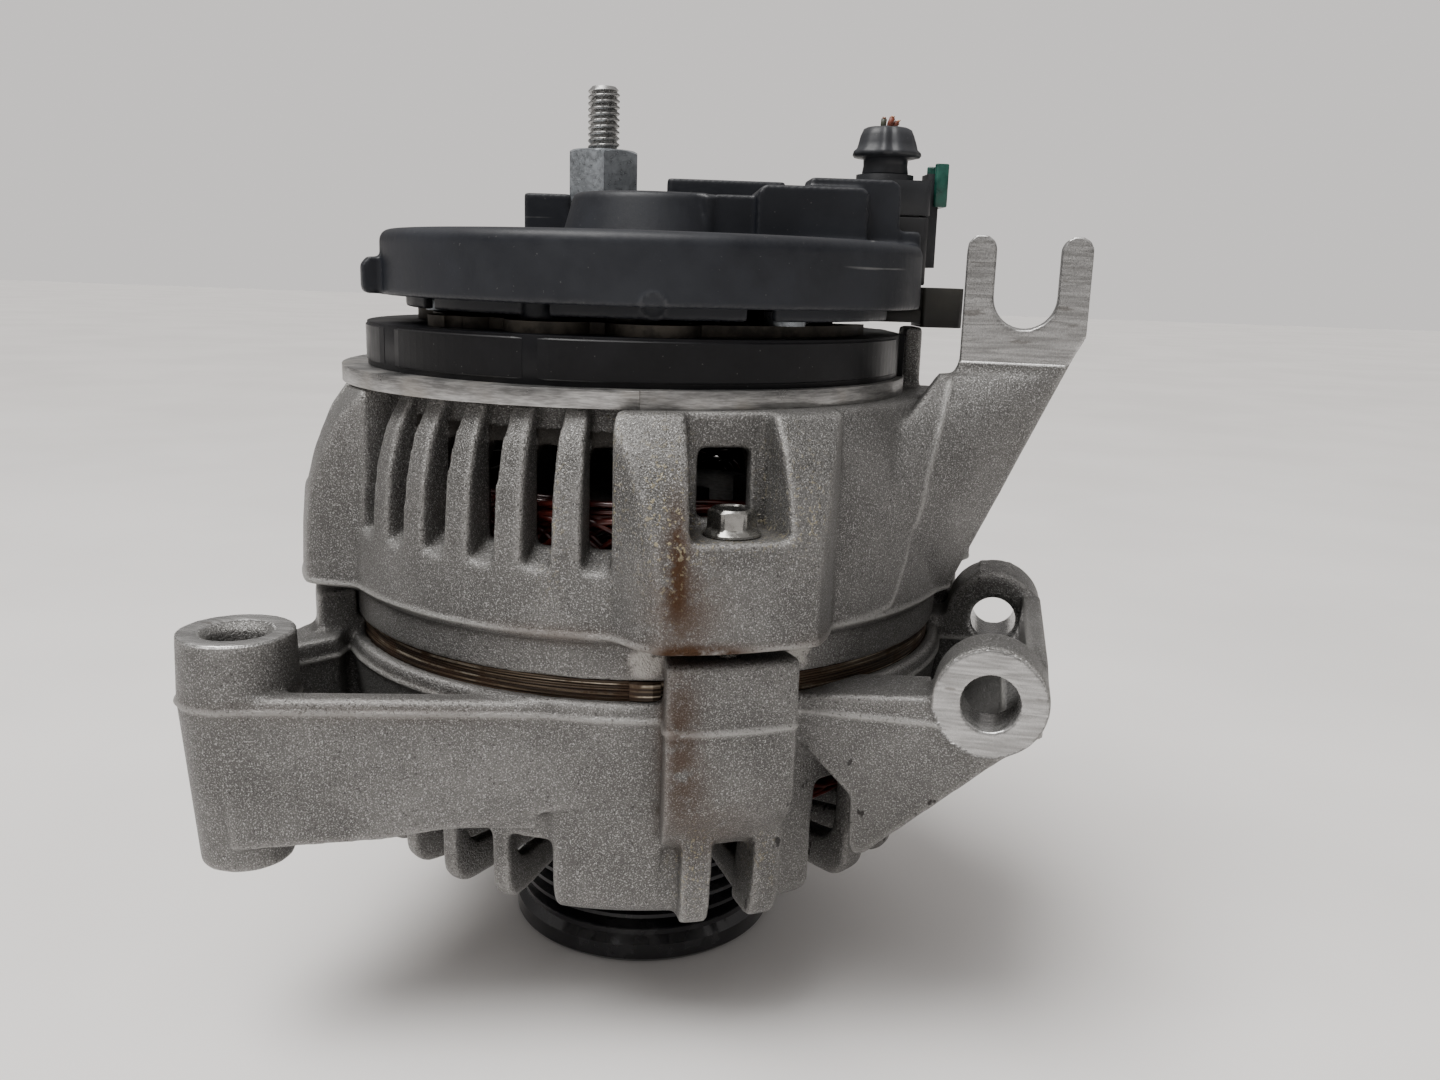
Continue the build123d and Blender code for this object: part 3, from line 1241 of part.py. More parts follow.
def plug_body():
    """The plug: insert, head with its rear step, latch bar, and holes for the contacts."""
    insert = block((47.8, 60.0), (-2.2, 12.2), (161.0, 170.6))
    head = round_block((46.2, 62.2), (-4.0, 14.0), (170.4, 178.0), 1.2)
    collar = post(6.6, 177.5, 179.5, BOOT_X, PLUG_Y)
    latch = block(LATCH_X, LATCH_Y, (159.0, LATCH_TOP_Z))
    bridge = block((61.0, LATCH_X[0] + 1.0), LATCH_Y, (172.0, 176.5))
    holes = [post(PIN_R + 0.3, 160.0, 168.0, x, y) for x, y in pin_places()]
    return accessory(carved(joined([insert, head, collar, latch, bridge]), holes))


def plug_boot():
    """The soft mushroom boot where the wires leave the plug."""
    neck = post(5.3, 179.5, 184.5, BOOT_X, PLUG_Y)
    cap = [(0.0, 184.0), (7.0, 184.0), (8.1, 184.6), (8.0, 185.6), (6.6, 187.6), (4.6, 190.0), (0.0, 190.0)]
    body = neck + Pos(BOOT_X, PLUG_Y, 0) * turned(cap, {4: 2.0, 5: 1.0})
    return accessory(body)


def wire_stubs():
    """The cut ends of the wires."""
    stubs = []
    for (dx, dy), top_z in zip(WIRE_OFFSETS, (192.6, 193.2, 192.0)):
        stubs.append(accessory(post(WIRE_R, 190.0, top_z, BOOT_X + dx, PLUG_Y + dy)))
    return stubs


def plug_lock():
    """The green secondary lock: a clip round three sides of the latch bar, which it slides up."""
    clear = 0.2
    wall = 1.3
    outside = round_block(
        (LATCH_X[0] + 1.3, LATCH_X[1] + clear + wall + 0.3),
        (LATCH_Y[0] - clear - wall, LATCH_Y[1] + clear + wall),
        (172.6, 182.2),
        0.6,
    )
    room = block((LATCH_X[0], LATCH_X[1] + clear), (LATCH_Y[0] - clear, LATCH_Y[1] + clear), (170.0, 190.0))
    return accessory(outside - room)


# ------------------------------------------------------------------ build every node
save("front_housing", front_housing())
save("rear_housing", rear_housing())
save("through_bolts", [through_bolt(angle) for angle in BOLT_ANGLES])
save("stator_core", stator_core())
save("stator_winding", stator_winding())
save("phase_leads", phase_leads())

save("front_bearing_outer_race", outer_race(FRONT_BEARING_R, *FRONT_BEARING))
save("front_bearing_inner_race", inner_race(SHAFT_R, *FRONT_BEARING))
save("front_bearing_balls", balls(FRONT_PITCH_R, FRONT_BALL_R, FRONT_BALL_COUNT, FRONT_MIDDLE_Z))
save("front_bearing_cage", ball_cage(FRONT_PITCH_R, FRONT_BALL_R, FRONT_BALL_COUNT, FRONT_MIDDLE_Z))
save("front_bearing_seals", bearing_seals(FRONT_SEAL_R, *FRONT_BEARING))
save("bearing_retainer_plate", bearing_retainer())
save("retainer_screws", retainer_screws())
save("rear_bearing_outer_race", outer_race(REAR_BEARING_R, *REAR_BEARING))
save("rear_bearing_inner_race", inner_race(REAR_JOURNAL_R, *REAR_BEARING))
save("rear_bearing_balls", balls(REAR_PITCH_R, REAR_BALL_R, REAR_BALL_COUNT, REAR_MIDDLE_Z))
save("rear_bearing_cage", ball_cage(REAR_PITCH_R, REAR_BALL_R, REAR_BALL_COUNT, REAR_MIDDLE_Z))
save("rear_bearing_seals", bearing_seals(REAR_SEAL_R, *REAR_BEARING))
save("rear_bearing_sleeve", bearing_sleeve())

save("rotor_shaft", rotor_shaft())
save("front_claw_pole", Pos(0, 0, CLAW_LOW_Z) * claw_pole())
save("rear_claw_pole", rear_claw_pole())
save("coil_bobbin", coil_bobbin())
save("field_coil", field_coil())
save("front_fan", front_fan())
save("rear_fan", rear_fan())
save("front_spacer", ring(SPACER_R, SHAFT_R, FRONT_BEARING_Z + FRONT_BEARING_H, CLAW_LOW_Z - FAN_DISC_H))
save("pulley_spacer", ring(11.5, SHAFT_R, PULLEY_H, FRONT_BEARING_Z))
save("rear_spacer", ring(9.8, REAR_JOURNAL_R, REAR_JOURNAL_Z, REAR_BEARING_Z))
save("slip_ring_carrier", slip_ring_carrier())
save("slip_rings", slip_rings())
save("pulley", pulley())
save("pulley_nut", pulley_nut())

save("heat_sink_plate", heat_sink_plate())
save("rectifier_insulator", rectifier_insulator())
save("positive_plate", positive_plate())
save("positive_diodes", positive_diodes())
save("negative_diodes", negative_diodes())
save("rectifier_screws", stack_screws())

save("brush_holder", brush_holder())
save("brush_lower", brush(SLIP_RINGS_Z[0]))
save("brush_upper", brush(SLIP_RINGS_Z[1]))
save("brush_spring_lower", brush_spring(SLIP_RINGS_Z[0]))
save("brush_spring_upper", brush_spring(SLIP_RINGS_Z[1]))
save("regulator_body", regulator_body())
save("regulator_screws", regulator_screws())
save("rear_cover", rear_cover())

save("output_stud", output_stud())
save("stud_insulator", stud_insulator())
save("stud_nut", stud_nut())
save("terminal_block", terminal_block())
save("regulator_socket", regulator_socket())
save("socket_pins", socket_pins())
save("plug_body", plug_body())
save("plug_boot", plug_boot())
save("wire_stubs", wire_stubs())
save("plug_lock", plug_lock())
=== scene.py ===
import math
import random

import bmesh
import bpy
import numpy as np
from mathutils import Matrix, Vector


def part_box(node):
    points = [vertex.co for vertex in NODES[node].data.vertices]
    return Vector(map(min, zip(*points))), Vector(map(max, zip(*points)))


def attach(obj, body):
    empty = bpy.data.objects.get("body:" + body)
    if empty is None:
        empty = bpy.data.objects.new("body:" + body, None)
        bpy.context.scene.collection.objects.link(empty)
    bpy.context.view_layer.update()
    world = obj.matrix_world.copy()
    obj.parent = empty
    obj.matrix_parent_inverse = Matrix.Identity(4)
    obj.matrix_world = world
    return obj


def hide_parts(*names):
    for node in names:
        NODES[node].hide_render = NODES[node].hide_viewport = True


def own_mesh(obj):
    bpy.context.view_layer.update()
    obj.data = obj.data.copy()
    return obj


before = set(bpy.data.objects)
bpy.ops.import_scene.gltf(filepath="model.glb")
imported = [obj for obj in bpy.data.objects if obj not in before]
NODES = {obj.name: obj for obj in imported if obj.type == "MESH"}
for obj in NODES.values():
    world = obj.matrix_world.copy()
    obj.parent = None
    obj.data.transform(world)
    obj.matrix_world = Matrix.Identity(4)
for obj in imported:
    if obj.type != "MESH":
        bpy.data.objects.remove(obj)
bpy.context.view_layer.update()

# A car alternator standing on its pulley.  Metres, +Z up along the shaft.
MM = 0.001
TURN = math.radians(16.0)      # the wiring side and the side lug are turned by this
dice = random.Random(7)


def mm(*values):
    """A point given in millimetres."""
    return Vector(values) * MM


def turned(x, y, z):
    """A point given in millimetres in the turned directions."""
    c, s = math.cos(TURN), math.sin(TURN)
    return mm(x * c - y * s, x * s + y * c, z)


def middle_of(node):
    """The middle of a CAD node's box."""
    low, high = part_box(node)
    return (low + high) / 2


# ------------------------------------------------------------------ camera, floor, light
def place_camera():
    """The camera a little above the housings, looking slightly down."""
    data = bpy.data.cameras.new("camera")
    data.sensor_width = 36.0
    data.lens = 30.0
    data.clip_start = 0.01
    camera = bpy.data.objects.new("camera", data)
    heading, drop, roll = math.radians(12.551), math.radians(12.44), math.radians(1.738)
    turn = Matrix.Rotation(heading, 4, "Z") @ Matrix.Rotation(math.pi / 2 - drop, 4, "X")
    camera.matrix_world = Matrix.Translation(mm(77.7, -271.1, 155.9)) @ turn @ Matrix.Rotation(roll, 4, "Z")
    bpy.context.scene.collection.objects.link(camera)
    bpy.context.scene.camera = camera


def place_floor():
    """A plain pale floor."""
    mesh = bpy.data.meshes.new("floor")
    half = 6.0
    corners = [(-half, -half, 0), (half, -half, 0), (half, half, 0), (-half, half, 0)]
    mesh.from_pydata(corners, [], [(0, 1, 2, 3)])
    floor = bpy.data.objects.new("floor", mesh)
    bpy.context.scene.collection.objects.link(floor)
    paint = Paint("floor_paint", (0.74, 0.73, 0.71), 0.0, 0.5)
    tone = paint.noise(5.0, 3)
    cloud = paint.stretch(tone, 0.3, 0.7)
    paint.set("Base Color", paint.mix(cloud, (0.80, 0.78, 0.765), (0.87, 0.85, 0.835)))
    paint.bump(paint.noise(70.0, 2.0), 0.0004, 0.15)
    mesh.materials.append(paint.material)


def place_lamp(name, place, aim, size, power, color=(1.0, 1.0, 1.0)):
    """A soft square lamp."""
    data = bpy.data.lights.new(name, "AREA")
    data.shape = "RECTANGLE"
    data.size, data.size_y = size
    data.energy = power
    data.color = color
    lamp = bpy.data.objects.new(name, data)
    lamp.location = place
    lamp.rotation_euler = (Vector(aim) - Vector(place)).to_track_quat("-Z", "Y").to_euler()
    bpy.context.scene.collection.objects.link(lamp)


def place_sun():
    """A broad soft light from above and a little in front."""
    data = bpy.data.lights.new("sky_panel", "SUN")
    data.energy = 2.7
    data.angle = math.radians(38.0)
    data.color = (1.0, 0.985, 0.96)
    sun = bpy.data.objects.new("sky_panel", data)
    sun.rotation_euler = Vector((0.30, 0.30, -1.0)).to_track_quat("-Z", "Y").to_euler()
    bpy.context.scene.collection.objects.link(sun)


def place_world():
    """A pale surround, brighter overhead, that the camera sees as one even tone."""
    world = bpy.data.worlds.new("surround")
    bpy.context.scene.world = world
    world.use_nodes = True
    tree = world.node_tree
    way = tree.nodes.new("ShaderNodeTexCoord")
    split = tree.nodes.new("ShaderNodeSeparateXYZ")
    height = tree.nodes.new("ShaderNodeMapRange")
    height.interpolation_type = "SMOOTHSTEP"
    height.inputs["From Min"].default_value = -0.1
    height.inputs["From Max"].default_value = 0.95
    height.inputs["To Min"].default_value = 0.11
    height.inputs["To Max"].default_value = 0.70
    seen = tree.nodes.new("ShaderNodeLightPath")
    strength = tree.nodes.new("ShaderNodeMix")
    shade = tree.nodes["Background"]
    shade.inputs["Color"].default_value = (0.97, 0.935, 0.915, 1.0)
    tree.links.new(way.outputs["Generated"], split.inputs[0])
    tree.links.new(split.outputs["Z"], height.inputs["Value"])
    tree.links.new(seen.outputs["Is Camera Ray"], strength.inputs["Factor"])
    tree.links.new(height.outputs["Result"], strength.inputs["A"])
    strength.inputs["B"].default_value = 0.89
    tree.links.new(strength.outputs["Result"], shade.inputs["Strength"])


# ------------------------------------------------------------------ material builder
class Paint:
    """One procedural material: a Principled shader fed by a few noise recipes."""

    def __init__(self, name, color, metallic, roughness):
        self.material = bpy.data.materials.new(name)
        self.material.use_nodes = True
        self.tree = self.material.node_tree
        self.shader = self.tree.nodes["Principled BSDF"]
        self.where = self.node("ShaderNodeTexCoord").outputs["Object"]
        self.heights = []
        self.set("Base Color", (*color, 1.0))
        self.set("Metallic", metallic)
        self.set("Roughness", roughness)

    def node(self, kind, **settings):
        made = self.tree.nodes.new(kind)
        for key, value in settings.items():
            setattr(made, key, value)
        return made

    def feed(self, socket, value):
        """Link an output, or write a plain number or colour."""
        if isinstance(value, bpy.types.NodeSocket):
            self.tree.links.new(value, socket)
        elif isinstance(value, (tuple, list)) and len(value) == 3 and socket.type == "RGBA":
            socket.default_value = (*value, 1.0)
        else:
            socket.default_value = value

    def set(self, name, value):
        self.feed(self.shader.inputs[name], value)

    def spread(self, scale, stretch=(1.0, 1.0, 1.0)):
        """Object coordinates, stretched along the axes."""
        made = self.node("ShaderNodeMapping")
        self.feed(made.inputs["Vector"], self.where)
        made.inputs["Scale"].default_value = tuple(scale * s for s in stretch)
        return made.outputs["Vector"]

    def noise(self, scale, detail=2.0, roughness=0.55, stretch=(1.0, 1.0, 1.0), distortion=0.0):
        made = self.node("ShaderNodeTexNoise")
        self.feed(made.inputs["Vector"], self.spread(scale, stretch))
        made.inputs["Scale"].default_value = 1.0
        made.inputs["Detail"].default_value = detail
        made.inputs["Roughness"].default_value = roughness
        made.inputs["Distortion"].default_value = distortion
        return made.outputs["Fac"]

    def stretch(self, value, low, high, to_low=0.0, to_high=1.0):
        """Map a stretch of values to another, smoothly and clamped."""
        made = self.node("ShaderNodeMapRange", interpolation_type="SMOOTHSTEP")
        self.feed(made.inputs["Value"], value)
        for key, number in (("From Min", low), ("From Max", high), ("To Min", to_low), ("To Max", to_high)):
            made.inputs[key].default_value = number
        return made.outputs["Result"]

    def math(self, operation, a, b=0.0):
        made = self.node("ShaderNodeMath", operation=operation)
        self.feed(made.inputs[0], a)
        self.feed(made.inputs[1], b)
        return made.outputs[0]

    def times(self, *values):
        result = values[0]
        for value in values[1:]:
            result = self.math("MULTIPLY", result, value)
        return result

    def mix(self, share, a, b, how="MIX"):
        made = self.node("ShaderNodeMix", data_type="RGBA", blend_type=how)
        self.feed(made.inputs["Factor"], share)
        self.feed(made.inputs[6], a)
        self.feed(made.inputs[7], b)
        return made.outputs[2]

    def layer(self, name):
        """A number stored on the mesh."""
        return self.node("ShaderNodeAttribute", attribute_name=name).outputs["Fac"]

    def bump(self, height, depth, strength=1.0):
        """Add a relief, in metres."""
        made = self.node("ShaderNodeBump")
        made.inputs["Strength"].default_value = strength
        made.inputs["Distance"].default_value = depth
        self.feed(made.inputs["Height"], height)
        if self.heights:
            self.feed(made.inputs["Normal"], self.heights[-1])
        self.heights.append(made.outputs["Normal"])
        self.set("Normal", made.outputs["Normal"])


# ------------------------------------------------------------------ materials
RUST = (0.062, 0.03, 0.014)
CRUST = (0.40, 0.35, 0.23)
# dark colour for the inner corners and for the painted shade
DARK_HOLLOW_AND_SHADE = (0.022, 0.019, 0.016)
FLASH_HIGHLIGHT = (0.40, 0.395, 0.38)


def cast_aluminium(name):
    """Shot-blasted die casting: fine grain, worn edges, darker inner corners, rust runs and crust, painted
    shade inside and underneath, and a painted highlight on the flash line.
    """
    paint = Paint(name, (0.3, 0.29, 0.275), 0.72, 0.46)
    worn, hollows, cut = paint.layer("worn"), paint.layer("hollows"), paint.layer("cut")
    rust, crust, pale, painted_shade_layer = (paint.layer(kind) for kind in ("rust", "crust", "pale", "painted_shade"))
    grain = paint.noise(3600.0, 2.0, 0.6)
    coarse = paint.noise(2000.0, 3.0, 0.65)
    tone = paint.noise(60.0, 4.0, 0.6)
    broad = paint.noise(17.0, 3.0)
    color = paint.mix(paint.stretch(tone, 0.3, 0.72), (0.108, 0.105, 0.101), (0.168, 0.164, 0.158))
    color = paint.mix(paint.times(paint.stretch(broad, 0.48, 0.72), 0.6), color, (0.088, 0.085, 0.08))
    color = paint.mix(paint.times(paint.stretch(grain, 0.5, 0.72), 0.8), color, (0.55, 0.545, 0.535))
    color = paint.mix(paint.times(paint.stretch(coarse, 0.47, 0.28), 0.8), color, (0.035, 0.033, 0.031))
    edge = paint.times(worn, paint.stretch(coarse, 0.32, 0.55))
    color = paint.mix(paint.times(edge, 0.6), color, (0.42, 0.41, 0.395))
    # darker in the inner corners
    hollow_dark = paint.times(hollows, paint.stretch(tone, 0.25, 0.6))
    color = paint.mix(paint.times(hollow_dark, 0.9), color, DARK_HOLLOW_AND_SHADE)
    cloud = paint.noise(230.0, 4.0, 0.7)
    # painted highlight: a pale line along the crests of the flash lines
    color = paint.mix(paint.times(paint.layer("flash"), paint.stretch(coarse, 0.2, 0.5), 0.8), color, FLASH_HIGHLIGHT)
    color = paint.mix(paint.times(rust, paint.stretch(cloud, 0.26, 0.52)), color, RUST)
    color = paint.mix(paint.times(pale, paint.stretch(cloud, 0.64, 0.5), 0.9), color, (0.52, 0.50, 0.47))
    bits = paint.times(crust, paint.stretch(paint.noise(1050.0, 2.0, 0.7), 0.57, 0.64))
    color = paint.mix(paint.times(bits, 0.85), color, CRUST)
    lines = paint.noise(1500.0, 2.0, 0.6, (0.06, 1.0, 1.0), 0.6)
    nicks = paint.stretch(paint.noise(210.0, 3.0, 0.7, (0.4, 1.0, 1.6)), 0.62, 0.68)
    machined = paint.mix(paint.stretch(lines, 0.35, 0.65), (0.27, 0.267, 0.262), (0.46, 0.456, 0.45))
    machined = paint.mix(paint.times(nicks, 0.7), machined, (0.14, 0.13, 0.12))
    color = paint.mix(paint.times(cut, 0.95), color, machined)
    # painted shade: dark specks, then a dark wash, inside the housings and towards the bottom on the +x side
    shade_specks = paint.stretch(paint.noise(330.0, 2.0, 0.6, (1.0, 1.0, 0.6)), 0.66, 0.7)
    color = paint.mix(paint.times(shade_specks, paint.stretch(painted_shade_layer, 0.02, 0.2)), color, (0.03, 0.028, 0.028))
    color = paint.mix(paint.times(painted_shade_layer, 0.95), color, DARK_HOLLOW_AND_SHADE)
    paint.set("Base Color", color)
    rough = paint.stretch(coarse, 0.3, 0.7, 0.36, 0.56)
    rough = paint.math("ADD", rough, paint.times(rust, 0.2))
    paint.set("Roughness", paint.math("SUBTRACT", rough, paint.times(cut, 0.2)))
    skin = paint.math("SUBTRACT", 1.0, paint.times(cut, 0.95))
    paint.bump(paint.times(paint.noise(150.0, 3.0), skin), 0.0005, 0.4)
    paint.bump(paint.times(coarse, skin), 0.0003, 0.9)
    paint.bump(paint.times(grain, skin), 0.00014, 0.9)
    paint.bump(paint.times(bits, skin), 0.0004, 0.9)
    paint.bump(paint.times(lines, cut), 0.00002, 0.6)
    return paint.material


def machined_aluminium(name, tint=(0.52, 0.515, 0.505)):
    """Bright turned or sawn aluminium with fine lines and a few nicks."""
    paint = Paint(name, tint, 0.92, 0.32)
    lines = paint.noise(260.0, 3.0, 0.7, (1.0, 1.0, 9.0))
    cloud = paint.noise(90.0, 3.0)
    dark = tuple(0.55 * value for value in tint)
    color = paint.mix(paint.stretch(lines, 0.35, 0.7), dark, tint)
    color = paint.mix(paint.times(paint.stretch(cloud, 0.5, 0.75), 0.5), color, (0.36, 0.33, 0.29))
    paint.set("Base Color", color)
    paint.set("Roughness", paint.stretch(cloud, 0.3, 0.7, 0.26, 0.5))
    paint.bump(lines, 0.00008, 0.5)
    paint.bump(paint.noise(1400.0, 2.0), 0.00004, 0.5)
    return paint.material


def dark_plastic(name, base, light, roughness, scuffs=0.5, shine=0.5):
    """Moulded black plastic with a fine skin, dust, scratches and rubbed edges."""
    paint = Paint(name, base, 0.0, roughness)
    worn = paint.layer("worn")
    cloud = paint.noise(42.0, 4.0, 0.65)
    fine = paint.noise(1100.0, 2.0, 0.6)
    paint.set("Specular IOR Level", shine)
    color = paint.mix(paint.stretch(cloud, 0.35, 0.7), base, light)
    scratch_one = paint.noise(300.0, 2.0, 0.5, (0.05, 0.05, 1.0), 0.4)
    scratch_two = paint.noise(260.0, 2.0, 0.5, (1.0, 0.12, 0.08), 0.6)
    scratch_one = paint.stretch(scratch_one, 0.71, 0.76)
    scratch_two = paint.stretch(scratch_two, 0.72, 0.77)
    marks = paint.math("MAXIMUM", scratch_one, scratch_two)
    marks = paint.times(marks, paint.stretch(cloud, 0.42, 0.62), scuffs)
    color = paint.mix(marks, color, (0.13, 0.13, 0.13))
    dust = paint.stretch(paint.noise(1500.0, 1.0), 0.76, 0.8)
    color = paint.mix(paint.times(dust, 0.35), color, (0.14, 0.135, 0.13))
    color = paint.mix(paint.times(worn, paint.stretch(fine, 0.4, 0.6), 0.3), color, (0.09, 0.09, 0.092))
    paint.set("Base Color", color)
    paint.set("Roughness", paint.stretch(cloud, 0.3, 0.7, roughness - 0.07, roughness + 0.12))
    paint.bump(fine, 0.00005, 0.45)
    paint.bump(paint.noise(90.0, 2.0), 0.0003, 0.25)
    return paint.material


def plated_steel(name, tint, roughness=0.33, aged=0.4):
    """Zinc-plated or plain steel with a clouded skin and light tarnish."""
    paint = Paint(name, tint, 0.95, roughness)
    cloud = paint.noise(160.0, 4.0, 0.65)
    fine = paint.noise(900.0, 3.0, 0.6)
    dark = tuple(0.72 * value for value in tint)
    color = paint.mix(paint.stretch(cloud, 0.32, 0.68), dark, tint)
    tarnish = paint.stretch(paint.noise(320.0, 4.0, 0.7), 0.58, 0.7)
    color = paint.mix(paint.times(tarnish, aged), color, (0.2, 0.13, 0.07))
    paint.set("Base Color", color)
    paint.set("Roughness", paint.stretch(fine, 0.3, 0.7, roughness - 0.08, roughness + 0.16))
    paint.bump(fine, 0.00005, 0.5)
    return paint.material


def rusty_laminations(name):
    """Stacked sheet edges: thin bright and brown lines round the core."""
    paint = Paint(name, (0.25, 0.17, 0.1), 0.55, 0.5)
    layers = paint.noise(1.0, 1.0, 0.5, (30.0, 30.0, 2100.0))
    patch = paint.noise(120.0, 4.0, 0.7)
    color = paint.mix(paint.stretch(layers, 0.42, 0.62), (0.022, 0.013, 0.008), (0.13, 0.095, 0.062))
    color = paint.mix(paint.times(paint.stretch(patch, 0.45, 0.65), 0.6), color, (0.05, 0.024, 0.012))
    bright = paint.times(paint.stretch(layers, 0.6, 0.68), paint.stretch(patch, 0.6, 0.4))
    color = paint.mix(bright, color, (0.45, 0.40, 0.32))
    paint.set("Base Color", color)
    paint.set("Roughness", paint.stretch(patch, 0.3, 0.7, 0.38, 0.7))
    paint.bump(layers, 0.0001, 0.6)
    return paint.material


def enamel_wire(name):
    """Dark red enamelled wire under a skin of varnish."""
    paint = Paint(name, (0.12, 0.02, 0.012), 0.25, 0.28)
    cloud = paint.noise(240.0, 3.0)
    color = paint.mix(paint.stretch(cloud, 0.35, 0.65), (0.03, 0.0045, 0.004), (0.12, 0.018, 0.012))
    paint.set("Base Color", color)
    paint.set("Coat Weight", 0.6)
    paint.set("Coat Roughness", 0.15)
    paint.bump(paint.noise(1300.0, 2.0), 0.00005, 0.5)
    return paint.material


def gloss_black(name):
    """Glossy black coating with fine turning marks."""
    paint = Paint(name, (0.012, 0.012, 0.014), 0.0, 0.2)
    lines = paint.noise(1.0, 2.0, 0.6, (40.0, 40.0, 1800.0))
    cloud = paint.noise(130.0, 3.0)
    tone = paint.stretch(cloud, 0.4, 0.7)
    paint.set("Base Color", paint.mix(tone, (0.008, 0.008, 0.01), (0.03, 0.03, 0.032)))
    paint.set("Roughness", paint.stretch(cloud, 0.3, 0.7, 0.13, 0.2))
    paint.set("Coat Weight", 0.3)
    paint.bump(lines, 0.00002, 0.25)
    return paint.material


def plain_grain(name, dark, light, metallic, roughness, scale=400.0):
    """A simple two-tone skin for the inner pieces."""
    paint = Paint(name, light, metallic, roughness)
    cloud = paint.noise(scale, 3.0, 0.6)
    paint.set("Base Color", paint.mix(paint.stretch(cloud, 0.35, 0.65), dark, light))
    paint.set("Roughness", paint.stretch(cloud, 0.3, 0.7, roughness - 0.06, roughness + 0.12))
    paint.bump(paint.noise(scale * 3.0, 2.0), 0.00006, 0.5)
    return paint.material


# ------------------------------------------------------------------ mesh helpers
def add_piece(name, mesh, body, material, replaced=()):
    """Put a finished mesh on its body."""
    mesh.materials.clear()
    mesh.materials.append(material)
    piece = bpy.data.objects.new(name, mesh)
    bpy.context.scene.collection.objects.link(piece)
    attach(piece, body)
    if replaced:
        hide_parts(*replaced)
    return piece


def from_lists(name, points, faces, smooth=True):
    """A mesh from points in metres."""
    mesh = bpy.data.meshes.new(name)
    mesh.from_pydata([tuple(p) for p in points], [], [tuple(f) for f in faces])
    mesh.update()
    if smooth:
        mesh.shade_smooth()
    return mesh


def clean_copy(node):
    """A welded copy of a CAD node's mesh."""
    mesh = NODES[node].data.copy()
    shape = bmesh.new()
    shape.from_mesh(mesh)
    bmesh.ops.remove_doubles(shape, verts=shape.verts, dist=2e-6)
    shape.to_mesh(mesh)
    shape.free()
    return mesh


def with_modifiers(mesh, *recipes):
    """The mesh after a list of (type, settings) modifiers."""
    holder = bpy.data.objects.new("holder", mesh)
    bpy.context.scene.collection.objects.link(holder)
    for kind, settings in recipes:
        modifier = holder.modifiers.new(kind.lower(), kind)
        for key, value in settings.items():
            setattr(modifier, key, value)
    depsgraph = bpy.context.evaluated_depsgraph_get()
    made = bpy.data.meshes.new_from_object(holder.evaluated_get(depsgraph))
    bpy.data.objects.remove(holder)
    return made


def neighbour_mean(places, edges, counts):
    """Each vertex's mean neighbour."""
    total = np.zeros_like(places)
    for axis in range(3):
        total[:, axis] = np.bincount(edges[:, 0], places[edges[:, 1], axis], len(places))
        total[:, axis] += np.bincount(edges[:, 1], places[edges[:, 0], axis], len(places))
    return total / counts[:, None]


def read_vectors(mesh, items, key):
    """All the vectors of a mesh's vertices as rows."""
    flat = np.empty(len(mesh.vertices) * 3)
    getattr(mesh, items).foreach_get(key, flat)
    return flat.reshape(-1, 3)


def no_layer(places):
    """A layer with nothing on it."""
    return np.zeros(len(places))


def soften(mesh, voxel, rounds, cut=no_layer, ridge=no_layer, hold=0.1, paints=None):
    """Remesh a casting or moulding, round its edges, raise its flash lines and store its layers.

    The layers are worn (raised edges and the crests of the flash lines), hollows (inner corners), cut
    (machined) and any in paints.
    """
    corners = read_vectors(mesh, "vertices", "co")
    made = with_modifiers(mesh, ("REMESH", {"mode": "VOXEL", "voxel_size": voxel}))
    places = read_vectors(made, "vertices", "co")
    count = len(places)
    edges = np.empty(len(made.edges) * 2, dtype=np.int64)
    made.edges.foreach_get("vertices", edges)
    edges = edges.reshape(-1, 2)
    counts = np.bincount(edges.ravel(), minlength=count).clip(1)
    cut_layer = cut(places)
    layers = {name: paint(places) for name, paint in (paints or {}).items()}
    freedom = (0.5 * (1.0 - cut_layer * (1.0 - hold)))[:, None]
    for _ in range(rounds):
        places += freedom * (neighbour_mean(places, edges, counts) - places)
    made.vertices.foreach_set("co", places.ravel())
    made.update()
    normals = read_vectors(made, "vertices", "normal")
    broad = places.copy()
    for _ in range(rounds + 12):
        broad += 0.5 * (neighbour_mean(broad, edges, counts) - broad)
    height = ((places - broad) * normals).sum(1) / voxel
    raised = ridge(places)
    places = np.clip(places + normals * raised[:, None], corners.min(0), corners.max(0))
    made.vertices.foreach_set("co", places.ravel())
    made.update()
    # raised flash crests also count as worn, which lightens them in the casting as a painted highlight
    layers["worn"] = np.clip(height * 1.3 - 0.2 + raised / (0.3 * MM), 0, 1)
    layers["hollows"] = np.clip(-height * 1.5 - 0.15, 0, 1)
    layers["cut"] = cut_layer
    for name, values in layers.items():
        store(made, name, values)
    made.shade_smooth()
    return made


def store(mesh, name, values):
    """Keep one number per vertex."""
    layer = mesh.attributes.new(name, "FLOAT", "POINT")
    layer.data.foreach_set("value", np.asarray(values, dtype=np.float32))


def ease(node, width, segments=2):
    """A CAD node's mesh with its edges rounded."""
    mesh = clean_copy(node)
    made = with_modifiers(
        mesh,
        ("DECIMATE", {"decimate_type": "DISSOLVE", "angle_limit": math.radians(1.5)}),
        ("BEVEL", {"width": width, "segments": segments, "limit_method": "ANGLE",
                   "angle_limit": math.radians(34), "harden_normals": False, "use_clamp_overlap": True}),
    )
    made.shade_smooth()
    made.set_sharp_from_angle(angle=math.radians(30))
    return made


